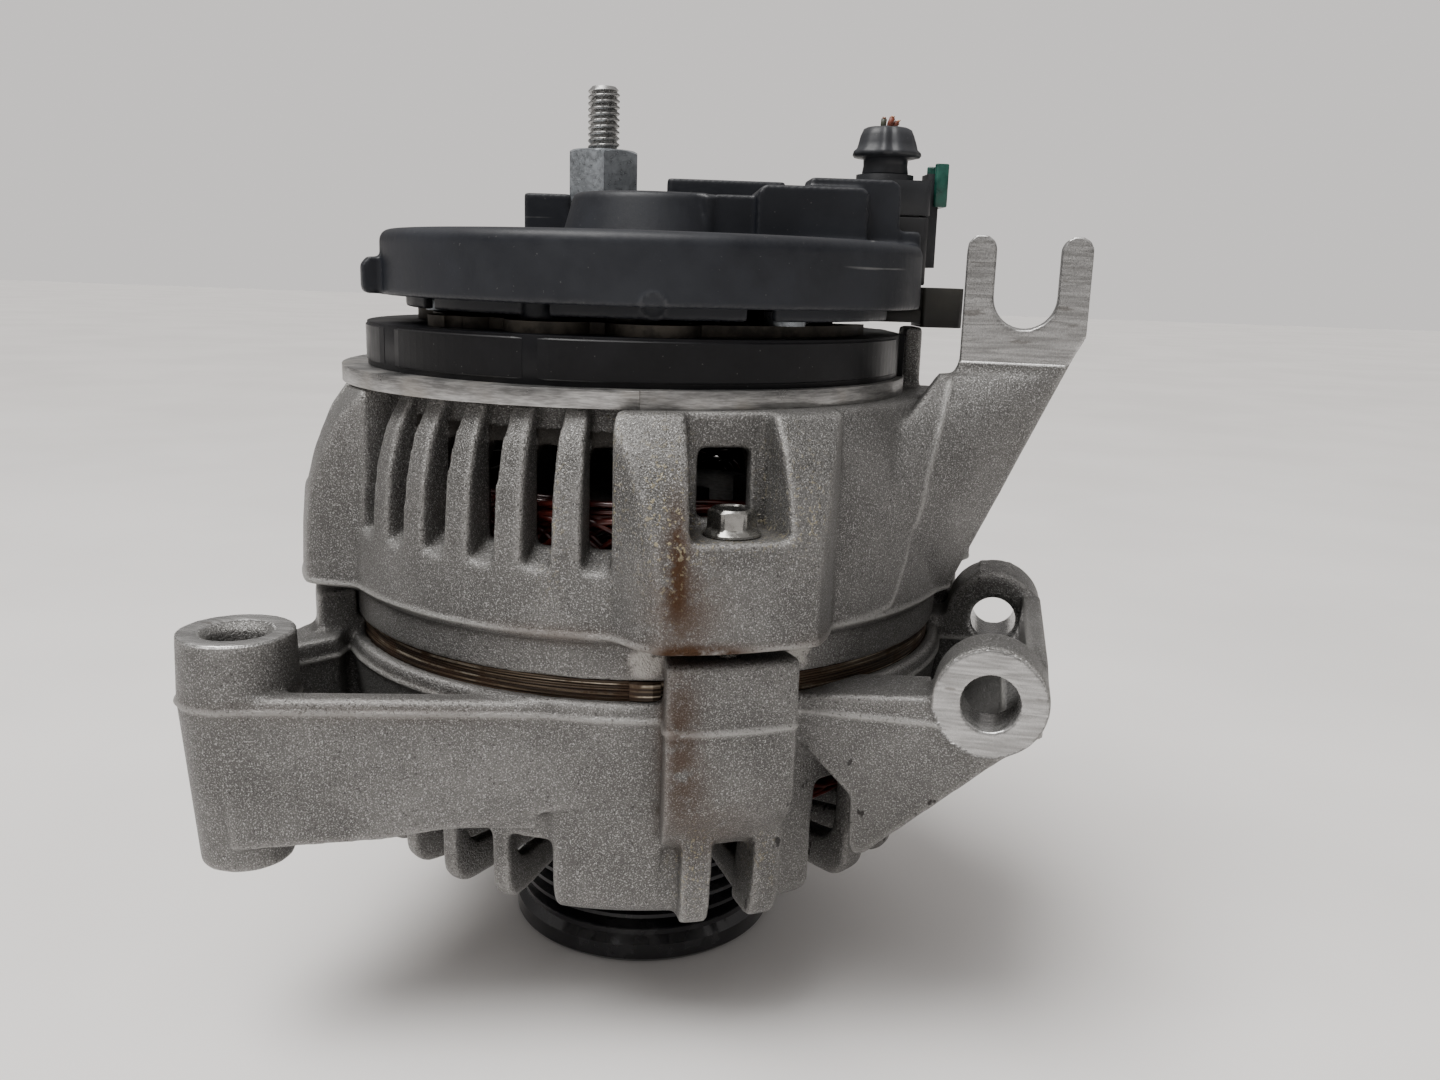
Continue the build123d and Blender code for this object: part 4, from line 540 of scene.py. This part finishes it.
def lathe(outline, sides=128, centre=(0.0, 0.0), wave=None):
    """Turn a closed outline of (radius, z) in millimetres about an upright axis."""
    points, faces = [], []
    rows = len(outline)
    for side in range(sides):
        angle = 2 * math.pi * side / sides
        for index, (radius, z) in enumerate(outline):
            r = radius + (wave(index, angle) if wave else 0.0)
            points.append(mm(centre[0] + r * math.cos(angle), centre[1] + r * math.sin(angle), z))
    for side in range(sides):
        after = (side + 1) % sides
        for row in range(rows):
            step = (row + 1) % rows
            faces.append((side * rows + row, after * rows + row, after * rows + step, side * rows + step))
    return points, faces


def tube(path, radius, sides=8):
    """A closed round tube along points in metres."""
    points, faces = [], []
    side_way = None
    for index, place in enumerate(path):
        ahead = path[min(index + 1, len(path) - 1)] - path[max(index - 1, 0)]
        ahead.normalize()
        if side_way is None:
            side_way = ahead.orthogonal().normalized()
        side_way = (side_way - ahead * side_way.dot(ahead)).normalized()
        up_way = ahead.cross(side_way)
        for side in range(sides):
            angle = 2 * math.pi * side / sides
            points.append(place + (side_way * math.cos(angle) + up_way * math.sin(angle)) * radius)
    for index in range(len(path) - 1):
        for side in range(sides):
            after = (side + 1) % sides
            low, high = index * sides, (index + 1) * sides
            faces.append((low + side, low + after, high + after, high + side))
    faces.append(tuple(reversed(range(sides))))
    last = (len(path) - 1) * sides
    faces.append(tuple(last + side for side in range(sides)))
    return points, faces


def gather(parts):
    """Join several (points, faces) lists."""
    points, faces = [], []
    for some_points, some_faces in parts:
        shift = len(points)
        points.extend(some_points)
        faces.extend(tuple(i + shift for i in face) for face in some_faces)
    return points, faces


# ------------------------------------------------------------------ castings
PIVOT_X, PIVOT_Z, EAR_R = 0.0817, 0.0792, 0.011
EAR_NEAR_Y, EAR_FAR_Y = -0.0527, 0.0230
PIVOT_REACH, LUG_REACH = 0.0059, 0.0125      # how far the cut skin goes from the two axes
LUG = turned(-79.0, -56.0, 0.0)
LUG_TOP = 0.0868
CUT_DEPTH = 0.0004                           # a point this close to a machined plane is on it
CORE_R = 0.0622
FRONT_FLASH_Z = 0.0738
REAR_FLASH_Z = 0.0902

# Soft blobs on the round walls: angle, height in mm, their two half sizes, strength.
REAR_RUST = [(-70.5, 108, 1.6, 9, 1.0), (-69.5, 97, 4.5, 9, 0.7), (-66.5, 90.0, 6.5, 1.3, 1.3),
             (-88, 90.0, 10, 1.8, 0.5), (-50, 90, 5, 2, 0.35), (-73, 84, 4, 3, 0.4)]
REAR_CRUST = [(-71.5, 114, 4.0, 12, 1.0), (-80, 118, 2.0, 12, 0.9), (-89, 112, 2.0, 12, 0.6),
              (-52, 117, 3.5, 9, 0.7), (-62, 110, 7, 1.8, 0.7)]
REAR_PALE = [(-74.3, 84.6, 2.9, 3.2, 0.9), (-48.6, 85.0, 2.3, 3.2, 0.9)]
FRONT_RUST = [(-69.5, 76, 2.6, 12, 0.7), (-68.5, 62, 3.2, 9, 0.45), (-64, 52, 7, 7, 0.35),
              (-110, 74, 18, 2, 0.25)]
FRONT_CRUST = [(-66, 45, 3, 8, 0.8), (-54, 45, 3, 7, 0.5)]


def blobs(shade_specks, crisp=1):
    """A layer made of blobs on the round wall, soft or with a crisp edge."""
    def layer(places):
        angle = np.degrees(np.arctan2(places[:, 1], places[:, 0]))
        height = places[:, 2] / MM
        radius = np.hypot(places[:, 0], places[:, 1]) / MM
        total = np.zeros(len(places))
        for spot_angle, spot_z, half_angle, half_z, strength in shade_specks:
            off = ((angle - spot_angle) / half_angle) ** 2 + ((height - spot_z) / half_z) ** 2
            total += strength * np.exp(-off ** crisp)
        return np.clip(total, 0, 1) * (radius > 60.0)
    return layer


def wavering(places, size):
    """A smooth number from nought to one that wanders along the surface."""
    phase = places @ np.array([310.0, 270.0, 190.0]) / size
    return 0.5 + 0.25 * np.sin(phase) + 0.25 * np.sin(2.3 * phase + 1.0)


def flash(off, places, height=0.0006, half=0.00045):
    """The height of a mould's flash line, given each point's distance from it."""
    return height * np.exp(-(off / half) ** 2) * (0.55 + 0.6 * wavering(places, 3.0))


def near_axis(places, first, second, x, y):
    """The distance from a line parallel to an axis."""
    return np.hypot(places[:, first] - x, places[:, second] - y)


def front_cut(places):
    """The machined zones of the front housing: ear faces and bore, lug top and bore."""
    y, z = places[:, 1], places[:, 2]
    ear = near_axis(places, 0, 2, PIVOT_X, PIVOT_Z)
    lug = near_axis(places, 0, 1, LUG.x, LUG.y)
    on_plane = (np.abs(y - EAR_NEAR_Y) < CUT_DEPTH) | (np.abs(y - EAR_FAR_Y) < CUT_DEPTH)
    ear_face = on_plane & (ear < EAR_R - 0.0003)
    lug_top = (z > LUG_TOP - CUT_DEPTH) & (lug < LUG_REACH)
    return (ear_face | (ear < PIVOT_REACH) | lug_top).astype(float)


def painted_shade(inner_r, low_z, high_z):
    """A layer of painted shade: it darkens the inside of a housing, and its underside a little."""
    def layer(places):
        radius, z = np.hypot(places[:, 0], places[:, 1]), places[:, 2]
        inside = (radius < inner_r) & (z > low_z) & (z < high_z)
        # painted shade towards the bottom on the +x side
        underside_shade = 0.55 * np.clip((0.074 - z) / 0.03, 0, 1) * np.clip((places[:, 0] - 0.03) / 0.03, 0, 1)
        return np.maximum(inside, underside_shade)
    return layer


def front_ridge(places):
    """The flash line along the lug, its wall, the tabs and the ears."""
    line = flash(places[:, 2] - FRONT_FLASH_Z, places)
    return line * (1.0 - front_cut(places)) * (np.hypot(places[:, 0], places[:, 1]) > 0.0672)


def rear_cut(places):
    """The machined zones of the rear housing: the fork's faces and slot."""
    x, y, z = places.T
    fork = (z > 0.1396) & (x > 0.069) & ((y < -0.0096) | (y > -0.0034))
    slot = (z > 0.1455) & (x > 0.0755) & (x < 0.0902)
    return (fork | slot).astype(float)


ARM_FLASH = [mm(52.2, -46.7, 90.2), mm(60.6, -35.3, 91.5), mm(61.5, -33.5, 93.7), mm(62.9, -30.1, 100.3),
             mm(64.8, -28.0, 109.0), mm(66.0, -26.9, 116.8), mm(67.5, -22.7, 125.1), mm(68.8, -14.1, 135.3)]


def rear_ridge(places):
    """The flash line round the flange, which climbs the side of the arm."""
    ring_line = flash(places[:, 2] - REAR_FLASH_Z, places) * (np.hypot(places[:, 0], places[:, 1]) > 0.0685)
    nearest = np.full(len(places), 1.0)
    for low, high in zip(ARM_FLASH, ARM_FLASH[1:]):
        start, along = np.array(low), np.array(high - low)
        share = np.clip((places - start) @ along / (along @ along), 0, 1)
        nearest = np.minimum(nearest, np.linalg.norm(places - start - share[:, None] * along, axis=1))
    return np.maximum(ring_line, flash(nearest, places, 0.0003, 0.0006)) * (1.0 - rear_cut(places))


def crest_highlight(ridge):
    """A layer that picks out the crests of a flash line, where the casting gets a painted highlight."""
    return lambda places: np.clip(ridge(places) / 0.0004, 0.0, 1.0)


def make_castings():
    """Both housings with rounded edges and a cast skin."""
    voxel = 0.0005
    rounds = 13
    paints = {"rust": blobs(FRONT_RUST), "crust": blobs(FRONT_CRUST), "pale": no_layer,
              "flash": crest_highlight(front_ridge), "painted_shade": painted_shade(CORE_R, 0.0475, 0.09)}
    front = soften(clean_copy("front_housing"), voxel, rounds, front_cut, front_ridge, paints=paints)
    paint = cast_aluminium("cast_front")
    add_piece("front_casting", front, "housing", paint, ["front_housing"])
    paints = {"rust": blobs(REAR_RUST), "crust": blobs(REAR_CRUST), "pale": blobs(REAR_PALE, 4),
              "flash": crest_highlight(rear_ridge), "painted_shade": painted_shade(CORE_R, 0.08, 0.1272)}
    rear = soften(clean_copy("rear_housing"), voxel, rounds, rear_cut, rear_ridge, paints=paints)
    paint = cast_aluminium("cast_rear")
    add_piece("rear_casting", rear, "housing", paint, ["rear_housing"])


GATE_ANGLE, GATE_Z, GATE_R = math.radians(-74.0), 0.150, 0.0024


def gate_mark(places):
    """The round mark that the mould's gate left on the cover's wall."""
    radius = np.hypot(places[:, 0], places[:, 1])
    along = (np.arctan2(places[:, 1], places[:, 0]) - GATE_ANGLE) * radius
    off = np.hypot(along, places[:, 2] - GATE_Z)
    return 0.00022 * np.exp(-((off - GATE_R) / 0.00045) ** 2) * (radius > 0.05)


def make_cover(material):
    """The moulded cover with softened edges."""
    voxel = 0.00042
    cover = soften(clean_copy("rear_cover"), voxel, 6, ridge=gate_mark)
    add_piece("moulded_cover", cover, "housing", material, ["rear_cover"])


# ------------------------------------------------------------------ fasteners
def hex_radius(across_flats, angle, turn):
    """The radius of a hexagon at an angle, its flats facing the turn."""
    sector = math.radians(60)
    off = (angle - turn + sector / 2) % sector - sector / 2
    return across_flats / 2 / math.cos(off)


def hex_piece(centre, rows, across_flats, turn, sides=96):
    """A closed turned shape whose rows marked hex are hexagonal.

    A row is (radius or hex, z, drop): with hex, the corners fall by drop for each mm past the flats.
    """
    points, faces = [], []
    for side in range(sides):
        angle = 2 * math.pi * side / sides
        across = hex_radius(across_flats, angle, turn)
        for radius, z, drop in rows:
            r = across if radius == "hex" else min(radius, across)
            fall = drop * (across - across_flats / 2) if radius == "hex" else 0.0
            points.append(mm(centre[0] + r * math.cos(angle), centre[1] + r * math.sin(angle), z - fall))
    count = len(rows)
    for side in range(sides):
        after = (side + 1) % sides
        for row in range(count):
            step = (row + 1) % count
            faces.append((side * count + row, after * count + row, after * count + step, side * count + step))
    return points, faces


def threaded(centre, radius, z_low, z_high, pitch, depth, chamfer, sides=64):
    """A screw thread with a true helix, capped at both ends."""
    rows = int((z_high - z_low) / pitch * 12)
    points, faces = [], []
    for row in range(rows + 1):
        z = z_low + (z_high - z_low) * row / rows
        for side in range(sides):
            share = side / sides
            wave = (z / pitch - share) % 1.0
            groove = depth * max(0.0, 1.0 - abs(wave - 0.5) * 2.6)
            r = min(radius - groove, radius - chamfer + max(0.0, z_high - z) * 0.9)
            angle = 2 * math.pi * share
            points.append(mm(centre[0] + r * math.cos(angle), centre[1] + r * math.sin(angle), z))
    for row in range(rows):
        for side in range(sides):
            after = (side + 1) % sides
            low, high = row * sides, (row + 1) * sides
            faces.append((low + side, low + after, high + after, high + side))
    faces.append(tuple(reversed(range(sides))))
    faces.append(tuple(rows * sides + side for side in range(sides)))
    return points, faces


def make_bolts(material):
    """Flanged hexagon bolts with a dished head, a rolled flange and a threaded end."""
    low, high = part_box("through_bolts")
    seat_z = high.z / MM - 5.1
    parts = []
    mesh = NODES["through_bolts"].data
    tops = [v.co for v in mesh.vertices if v.co.z > high.z - 1e-5]
    for quarter in range(4):
        way = math.radians(-61.7 + 90.0 * quarter)
        ahead = Vector((math.cos(way), math.sin(way)))
        near = [co for co in tops if co.xy.angle(ahead) < 0.3]
        centre = sum(near, Vector()) / len(near) / MM
        top = seat_z + 5.1
        rows = [(0.01, seat_z - 14, 0), (2.5, seat_z - 14, 0), (2.5, seat_z, 0), (5.3, seat_z, 0),
                (5.5, seat_z + 0.25, 0), (5.4, seat_z + 0.6, 0), (4.75, seat_z + 1.15, 0),
                ("hex", seat_z + 1.5, -0.5), ("hex", top - 0.35, 0.5), (3.75, top - 0.02, 0),
                (3.3, top, 0), (2.9, top - 0.3, 0), (1.0, top - 0.45, 0), (0.01, top - 0.45, 0)]
        parts.append(flat_rows((centre.x, centre.y), rows, 8.0, way - 0.2))
        shank = (centre.x, centre.y)
        parts.append(threaded(shank, 2.5, low.z / MM, seat_z - 13.0, 0.8, 0.4, 0.5, 24))
    add_piece("flange_bolts", from_lists("flange_bolts", *gather(parts)), "housing", material,
              ["through_bolts"]).data.set_sharp_from_angle(angle=math.radians(32))


def flat_rows(centre, rows, across_flats, turn, sides=96):
    """A hex piece whose flange rows keep their full circle."""
    points, faces = hex_piece(centre, rows, across_flats, turn, sides)
    count = len(rows)
    for side in range(sides):
        angle = 2 * math.pi * side / sides
        for index, (radius, z, _) in enumerate(rows):
            if radius != "hex":
                points[side * count + index] = mm(
                    centre[0] + radius * math.cos(angle), centre[1] + radius * math.sin(angle), z)
    return points, faces


STUD_AT = (-24.0, 35.0)
NUT_FLATS, NUT_TURN = 17.0, math.radians(78.4)


def make_stud(steel, zinc):
    """The threaded output stud and its long nut."""
    low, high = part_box("output_stud")
    nut_low, nut_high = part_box("stud_nut")
    root, base, top = low.z / MM, nut_low.z / MM, nut_high.z / MM
    foot = lathe([(0.01, root), (3.4, root), (3.4, root + 2.2), (7.0, root + 2.2), (7.0, root + 5.2),
                  (3.4, root + 5.2), (3.4, top - 2), (0.01, top - 2)], 48, STUD_AT)
    thread = threaded(STUD_AT, 4.0, top - 2.5, high.z / MM, 1.5, 0.72, 1.0)
    stud = from_lists("threaded_stud", *gather([foot, thread]))
    stud.set_sharp_from_angle(angle=math.radians(40))
    add_piece("threaded_stud", stud, "housing", steel, ["output_stud"])
    rows = [(3.9, base, 0), (7.6, base, 0), ("hex", base + 0.5, -0.55), ("hex", top - 0.3, 0.6),
            (8.0, top - 0.04, 0), (7.4, top, 0), (4.9, top, 0), (4.05, top - 0.8, 0), (3.9, top - 0.9, 0)]
    nut = hex_piece(STUD_AT, rows, NUT_FLATS, NUT_TURN)
    add_piece("long_nut", from_lists("long_nut", *nut), "housing", zinc,
              ["stud_nut"]).data.set_sharp_from_angle(angle=math.radians(25))


# ------------------------------------------------------------------ windings and laminations
def wire_path(radius, start, sweep, z_foot, z_peak, bulge):
    """One end turn: out of a slot, over in an arch, into another slot."""
    steps = 10
    path = []
    for step in range(steps + 1):
        share = step / steps
        lift = math.sin(math.pi * share) ** 0.6
        angle = start + sweep * share
        r = radius + bulge * lift
        path.append(mm(r * math.cos(angle), r * math.sin(angle), z_foot + (z_peak - z_foot) * lift))
    return path


def hoop_path(radius, z, wobble):
    """A loose turn of wire lying round the ring."""
    steps = 108
    phase = dice.uniform(0, 6.28)
    path = []
    for step in range(steps + 1):
        angle = 2 * math.pi * step / steps
        r = radius + wobble * math.sin(7 * angle + phase)
        lift = wobble * math.sin(11 * angle + 2 * phase)
        path.append(mm(r * math.cos(angle), r * math.sin(angle), z + lift))
    return path


def make_windings(material):
    """The stator's end turns as separate enamelled wires, and the wires in the slots."""
    slots = 36
    pitch = 2 * math.pi / slots
    wires = []
    for slot in range(slots):
        for layer in range(4):
            radius = 54.2 + 1.35 * layer
            start = slot * pitch + dice.uniform(-0.25, 0.25) * pitch
            sweep = (3 + layer % 2) * pitch
            rise = 10.6 + 0.9 * layer + dice.uniform(-0.9, 0.3)
            wires.append(tube(wire_path(radius, start, sweep, 97.2, 97.2 + rise, 0.6), 0.72 * MM, 6))
            wires.append(tube(wire_path(radius, start, sweep, 62.8, 62.8 - rise, 0.6), 0.72 * MM, 6))
        for radius in (54.0, 56.2, 58.2):
            foot = Vector((radius * math.cos(slot * pitch), radius * math.sin(slot * pitch), 0.0)) * MM
            wires.append(tube([foot + mm(0, 0, 61.0), foot + mm(0, 0, 99.0)], 0.9 * MM, 6))
    for turn in range(9):
        radius = 53.8 + 0.62 * turn
        wires.append(tube(hoop_path(radius, 110.6 + (turn % 3) * 1.0, 0.35), 0.6 * MM, 6))
        wires.append(tube(hoop_path(radius, 50.9 - (turn % 3) * 0.8, 0.35), 0.6 * MM, 6))
    mesh = from_lists("winding_wires", *gather(wires))
    add_piece("winding_wires", mesh, "housing", material, ["stator_winding"])


def make_lamination_edge(material):
    """The edges of the core's sheets, seen between the two housings."""
    low_z, high_z, sheets = 76.6, 81.4, 9
    outline = [(66.3, low_z)]
    for sheet in range(sheets):
        base = low_z + (high_z - low_z) * sheet / sheets
        thick = (high_z - low_z) / sheets
        edge_r = 66.72 + dice.uniform(-0.07, 0.05)
        outline += [(66.52, base), (edge_r, base + 0.1), (edge_r, base + thick - 0.1)]
    outline += [(66.52, high_z), (66.3, high_z)]
    edges = from_lists("core_sheet_edges", *lathe(outline, 240), smooth=False)
    add_piece("core_sheet_edges", edges, "housing", material)
    keys = [arc_plate(-74.3 + 90.0 * quarter, 5.0, 66.4, 67.9, 76.9, 80.9, edge=0.4) for quarter in range(4)]
    mesh = from_lists("core_keys", *gather(keys), smooth=False)
    add_piece("core_keys", mesh, "housing", material)


# ------------------------------------------------------------------ wiring plug
def make_boot(material):
    """The folded rubber boot on the plug."""
    low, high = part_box("plug_boot")
    centre = middle_of("plug_boot") / MM
    base, top = low.z / MM, high.z / MM
    half = (high.x - low.x) / MM / 2
    outline = [(0.01, base), (5.2, base), (5.3, base + 0.5), (5.05, base + 2.0), (5.15, base + 3.6),
               (half - 1.6, base + 3.75), (half - 0.5, base + 3.95), (half - 0.1, base + 4.5),
               (half - 0.25, base + 5.1), (half - 1.0, base + 5.75), (half - 1.35, base + 7.0),
               (half - 1.75, base + 8.6), (half - 2.4, top - 0.45), (half - 3.2, top - 0.05),
               (0.01, top - 0.15)]

    def fold(row, angle):
        """Creases in the soft cap and a tuck on one side."""
        if not 6 <= row <= 13:
            return 0.0
        tuck = math.exp(-((angle - 4.75) / 0.14) ** 2) - 0.8 * math.exp(-((angle - 5.0) / 0.1) ** 2)
        sag = 0.18 * math.sin(5 * angle + 0.8) + 0.12 * math.sin(11 * angle)
        return sag * (0.4 if row > 10 else 1.0) - 0.18 + 0.5 * tuck
    points, faces = lathe(outline, 96, (centre.x, centre.y), fold)
    boot = from_lists("folded_boot", points, faces)
    add_piece("folded_boot", boot, "plug", material, ["plug_boot"])


def make_wires(insulations, copper):
    """Three short cut wires with bare ends."""
    low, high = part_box("wire_stubs")
    middle = middle_of("wire_stubs")
    leans = ((-1.2, -0.5, 0.85), (0.4, -0.7, 0.95), (1.3, 0.2, 0.6))
    strands = []
    for index, (lean_x, lean_y, tall) in enumerate(leans):
        foot = middle + mm(lean_x * 0.7, lean_y * 0.7, 0)
        foot.z = low.z - 0.6 * MM
        tip = foot + mm(lean_x * 0.5 + 0.4, lean_y * 0.5, 0)
        tip.z = low.z + (high.z - low.z) * tall * 0.72
        bend = (foot + tip) / 2 + mm(-0.25, 0.1, 0)
        cover = from_lists("wire_cover", *tube([foot, bend, tip], 0.66 * MM, 16))
        replaced = ["wire_stubs"] if index == 0 else []
        add_piece(f"wire_cover_{index + 1}", cover, "plug", insulations[index], replaced)
        ahead = (tip - bend).normalized()
        for strand in range(6):
            angle = strand * math.pi / 3
            start = tip - ahead * 0.2 * MM + mm(0.3 * math.cos(angle), 0.3 * math.sin(angle), 0)
            strands.append(tube([start, start + ahead * dice.uniform(0.4, 0.75) * MM], 0.15 * MM, 6))
    add_piece("wire_strands", from_lists("wire_strands", *gather(strands)), "plug", copper)


def make_springs(material):
    """The coil springs, copied from the CAD nodes with smooth shading."""
    for place, z in (("lower", 143.0), ("upper", 153.0)):
        node = f"brush_spring_{place}"
        coil = clean_copy(node)
        coil.shade_smooth()
        piece = add_piece(f"coil_spring_{place}", coil, "housing", material, [node])
        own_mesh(piece)


# ------------------------------------------------------------------ rings and small trim
def arc_plate(middle, sweep, inner, outer, z_low, z_high, centre=(0.0, 0.0), edge=0.25):
    """A curved plate with eased edges."""
    outline = [(inner, z_low + edge), (outer - edge, z_low), (outer, z_low + edge), (outer, z_high - edge),
               (outer - edge, z_high), (inner, z_high - edge)]
    steps = max(4, int(sweep / 2))
    points, faces = [], []
    for step in range(steps + 1):
        angle = math.radians(middle - sweep / 2 + sweep * step / steps)
        pull = edge if step in (0, steps) else 0.0
        for radius, z in outline:
            r = max(inner, radius - pull)
            points.append(mm(centre[0] + r * math.cos(angle), centre[1] + r * math.sin(angle), z))
    count = len(outline)
    for step in range(steps):
        for row in range(count):
            after = (row + 1) % count
            here, there = step * count, (step + 1) * count
            faces.append((here + row, there + row, there + after, here + after))
    faces.append(tuple(range(count)))
    faces.append(tuple(steps * count + row for row in reversed(range(count))))
    return points, faces


def make_insulator_panels(material):
    """Raised panels moulded on the rim of the rectifier's insulator."""
    centre = (-3.5, -1.0)
    spans = ((-110.5, 33.0), (-47.5, 87.0), (-155.0, 46.0), (140.0, 70.0), (62.0, 70.0))
    plates = [arc_plate(middle, sweep, 59.6, 60.3, 136.0, 143.7, centre) for middle, sweep in spans]
    add_piece("insulator_panels", from_lists("insulator_panels", *gather(plates), smooth=False), "housing",
              material)


def eased_node(node, body, material, width, name):
    """A CAD node stood for by the same shape with its edges eased."""
    made = ease(node, width)
    return add_piece(name, made, body, material, [node])


# ------------------------------------------------------------------ finish the CAD nodes
# Each look: its recipe, then the recipe's values.
LOOKS = {
    "bearing_steel": (plated_steel, (0.72, 0.72, 0.73), 0.16, 0.1),
    "bolt_steel": (plated_steel, (0.30, 0.295, 0.28), 0.17, 0.05),
    "zinc_steel": (plated_steel, (0.41, 0.44, 0.47), 0.34, 0.03),
    # dark steel for the fans and cages: partly the steel's own colour, partly painted shade for the inside of
    # the housings
    "sheet_steel": (plated_steel, (0.16, 0.155, 0.15), 0.4, 0.5),
    "shaft_steel": (plated_steel, (0.55, 0.55, 0.54), 0.25, 0.2),
    "stud_steel": (plated_steel, (0.36, 0.36, 0.355), 0.3, 0.3),
    "plate_aluminium": (machined_aluminium, (0.40, 0.395, 0.388)),
    "dull_plate": (plain_grain, (0.035, 0.03, 0.025), (0.10, 0.088, 0.072), 0.6, 0.5, 250.0),
    "black_plastic": (dark_plastic, (0.012, 0.012, 0.013), (0.022, 0.022, 0.024), 0.42),
    "lamination_steel": (rusty_laminations,),
    "enamelled_copper": (enamel_wire,),
    "insulator_plastic": (dark_plastic, (0.003, 0.003, 0.0038), (0.007, 0.007, 0.0085), 0.36, 0.3, 0.22),
    "regulator_plastic": (dark_plastic, (0.02, 0.02, 0.022), (0.035, 0.035, 0.04), 0.5),
    "cover_plastic": (dark_plastic, (0.008, 0.0092, 0.013), (0.015, 0.017, 0.0225), 0.46, 0.9, 0.36),
    "terminal_plastic": (dark_plastic, (0.010, 0.0095, 0.0085), (0.028, 0.026, 0.02), 0.45),
    "plug_plastic": (dark_plastic, (0.012, 0.013, 0.015), (0.022, 0.023, 0.027), 0.4),
    "boot_rubber": (dark_plastic, (0.013, 0.014, 0.017), (0.026, 0.028, 0.033), 0.45, 0.2),
    "pulley_black": (gloss_black,),
    "forged_steel": (plain_grain, (0.06, 0.055, 0.05), (0.14, 0.13, 0.12), 0.7, 0.45),
    "nickel_plate": (plain_grain, (0.10, 0.095, 0.09), (0.2, 0.19, 0.175), 0.7, 0.45),
    "seal_rubber": (plain_grain, (0.02, 0.02, 0.02), (0.05, 0.05, 0.05), 0.0, 0.55),
    "bobbin_plastic": (plain_grain, (0.5, 0.45, 0.33), (0.65, 0.6, 0.47), 0.0, 0.45),
    "slip_ring_copper": (plain_grain, (0.5, 0.22, 0.1), (0.8, 0.45, 0.27), 0.95, 0.22),
    "brush_carbon": (plain_grain, (0.02, 0.02, 0.022), (0.06, 0.06, 0.065), 0.1, 0.5),
    "spring_steel": (plain_grain, (0.35, 0.35, 0.35), (0.6, 0.6, 0.6), 0.95, 0.28),
    "tin_brass": (plain_grain, (0.55, 0.5, 0.38), (0.78, 0.74, 0.62), 0.95, 0.3),
    "wire_insulation": (plain_grain, (0.09, 0.02, 0.01), (0.22, 0.05, 0.022), 0.0, 0.45),
    "green_plastic": (plain_grain, (0.006, 0.045, 0.034), (0.011, 0.085, 0.06), 0.0, 0.32),
}


def make_looks():
    """Every material that is not a casting's."""
    return {name: recipe(name, *values) for name, (recipe, *values) in LOOKS.items()}


PLAIN_NODES = {
    "bearing_steel": ["front_bearing_outer_race", "rear_bearing_outer_race", "front_bearing_inner_race",
                      "rear_bearing_inner_race", "front_bearing_balls", "rear_bearing_balls"],
    "zinc_steel": ["bearing_retainer_plate", "retainer_screws", "rectifier_screws", "regulator_screws",
                   "pulley_nut"],
    "sheet_steel": ["front_bearing_cage", "rear_bearing_cage", "front_fan", "rear_fan"],
    "shaft_steel": ["rotor_shaft", "front_spacer", "rear_spacer", "pulley_spacer"],
    "dull_plate": ["positive_plate"],
    "black_plastic": ["rear_bearing_sleeve", "brush_holder", "stud_insulator", "slip_ring_carrier"],
    "lamination_steel": ["stator_core"],
    "enamelled_copper": ["field_coil", "phase_leads"],
    "pulley_black": ["pulley"],
    "forged_steel": ["front_claw_pole", "rear_claw_pole"],
    "nickel_plate": ["positive_diodes", "negative_diodes"],
    "seal_rubber": ["front_bearing_seals", "rear_bearing_seals"],
    "bobbin_plastic": ["coil_bobbin"],
    "slip_ring_copper": ["slip_rings"],
    "brush_carbon": ["brush_lower", "brush_upper"],
    "tin_brass": ["socket_pins"],
}


# CAD nodes with eased edges: the body, look, width of the easing in mm, and the piece's name.
EASED = [
    ("heat_sink_plate", "housing", "plate_aluminium", 0.35, "ring_plate"),
    ("rectifier_insulator", "housing", "insulator_plastic", 0.3, "insulator_ring"),
    ("regulator_body", "housing", "regulator_plastic", 0.3, "regulator_case"),
    ("terminal_block", "housing", "terminal_plastic", 0.5, "terminal_moulding"),
    ("regulator_socket", "housing", "black_plastic", 0.35, "socket_shell"),
    ("plug_body", "plug", "plug_plastic", 0.45, "plug_shell"),
    ("plug_lock", "lock", "green_plastic", 0.3, "lock_clip"),
]


def paint_nodes(looks):
    """A material for every CAD node that stays in view."""
    for look, nodes in PLAIN_NODES.items():
        for node in nodes:
            mesh = NODES[node].data
            mesh.materials.clear()
            mesh.materials.append(looks[look])


place_camera()
place_floor()
place_world()
place_sun()
place_lamp("top_softbox", (-0.15, -0.35, 0.9), (0, 0, 0.12), (0.7, 0.7), 5.0)

looks = make_looks()
paint_nodes(looks)
make_castings()
make_cover(looks["cover_plastic"])
make_bolts(looks["bolt_steel"])
make_stud(looks["stud_steel"], looks["zinc_steel"])
make_windings(looks["enamelled_copper"])
make_lamination_edge(looks["lamination_steel"])
make_boot(looks["boot_rubber"])
red_wire = looks["wire_insulation"]
green_wire = plain_grain("green_wire", (0.03, 0.034, 0.02), (0.09, 0.095, 0.06), 0.0, 0.5)
bare_copper = plain_grain("bare_copper", (0.2, 0.09, 0.05), (0.4, 0.2, 0.12), 0.95, 0.35)
make_wires((green_wire, red_wire, red_wire), bare_copper)
make_insulator_panels(looks["insulator_plastic"])
make_springs(looks["spring_steel"])
for node, body, look, width, name in EASED:
    eased_node(node, body, looks[look], width * MM, name)
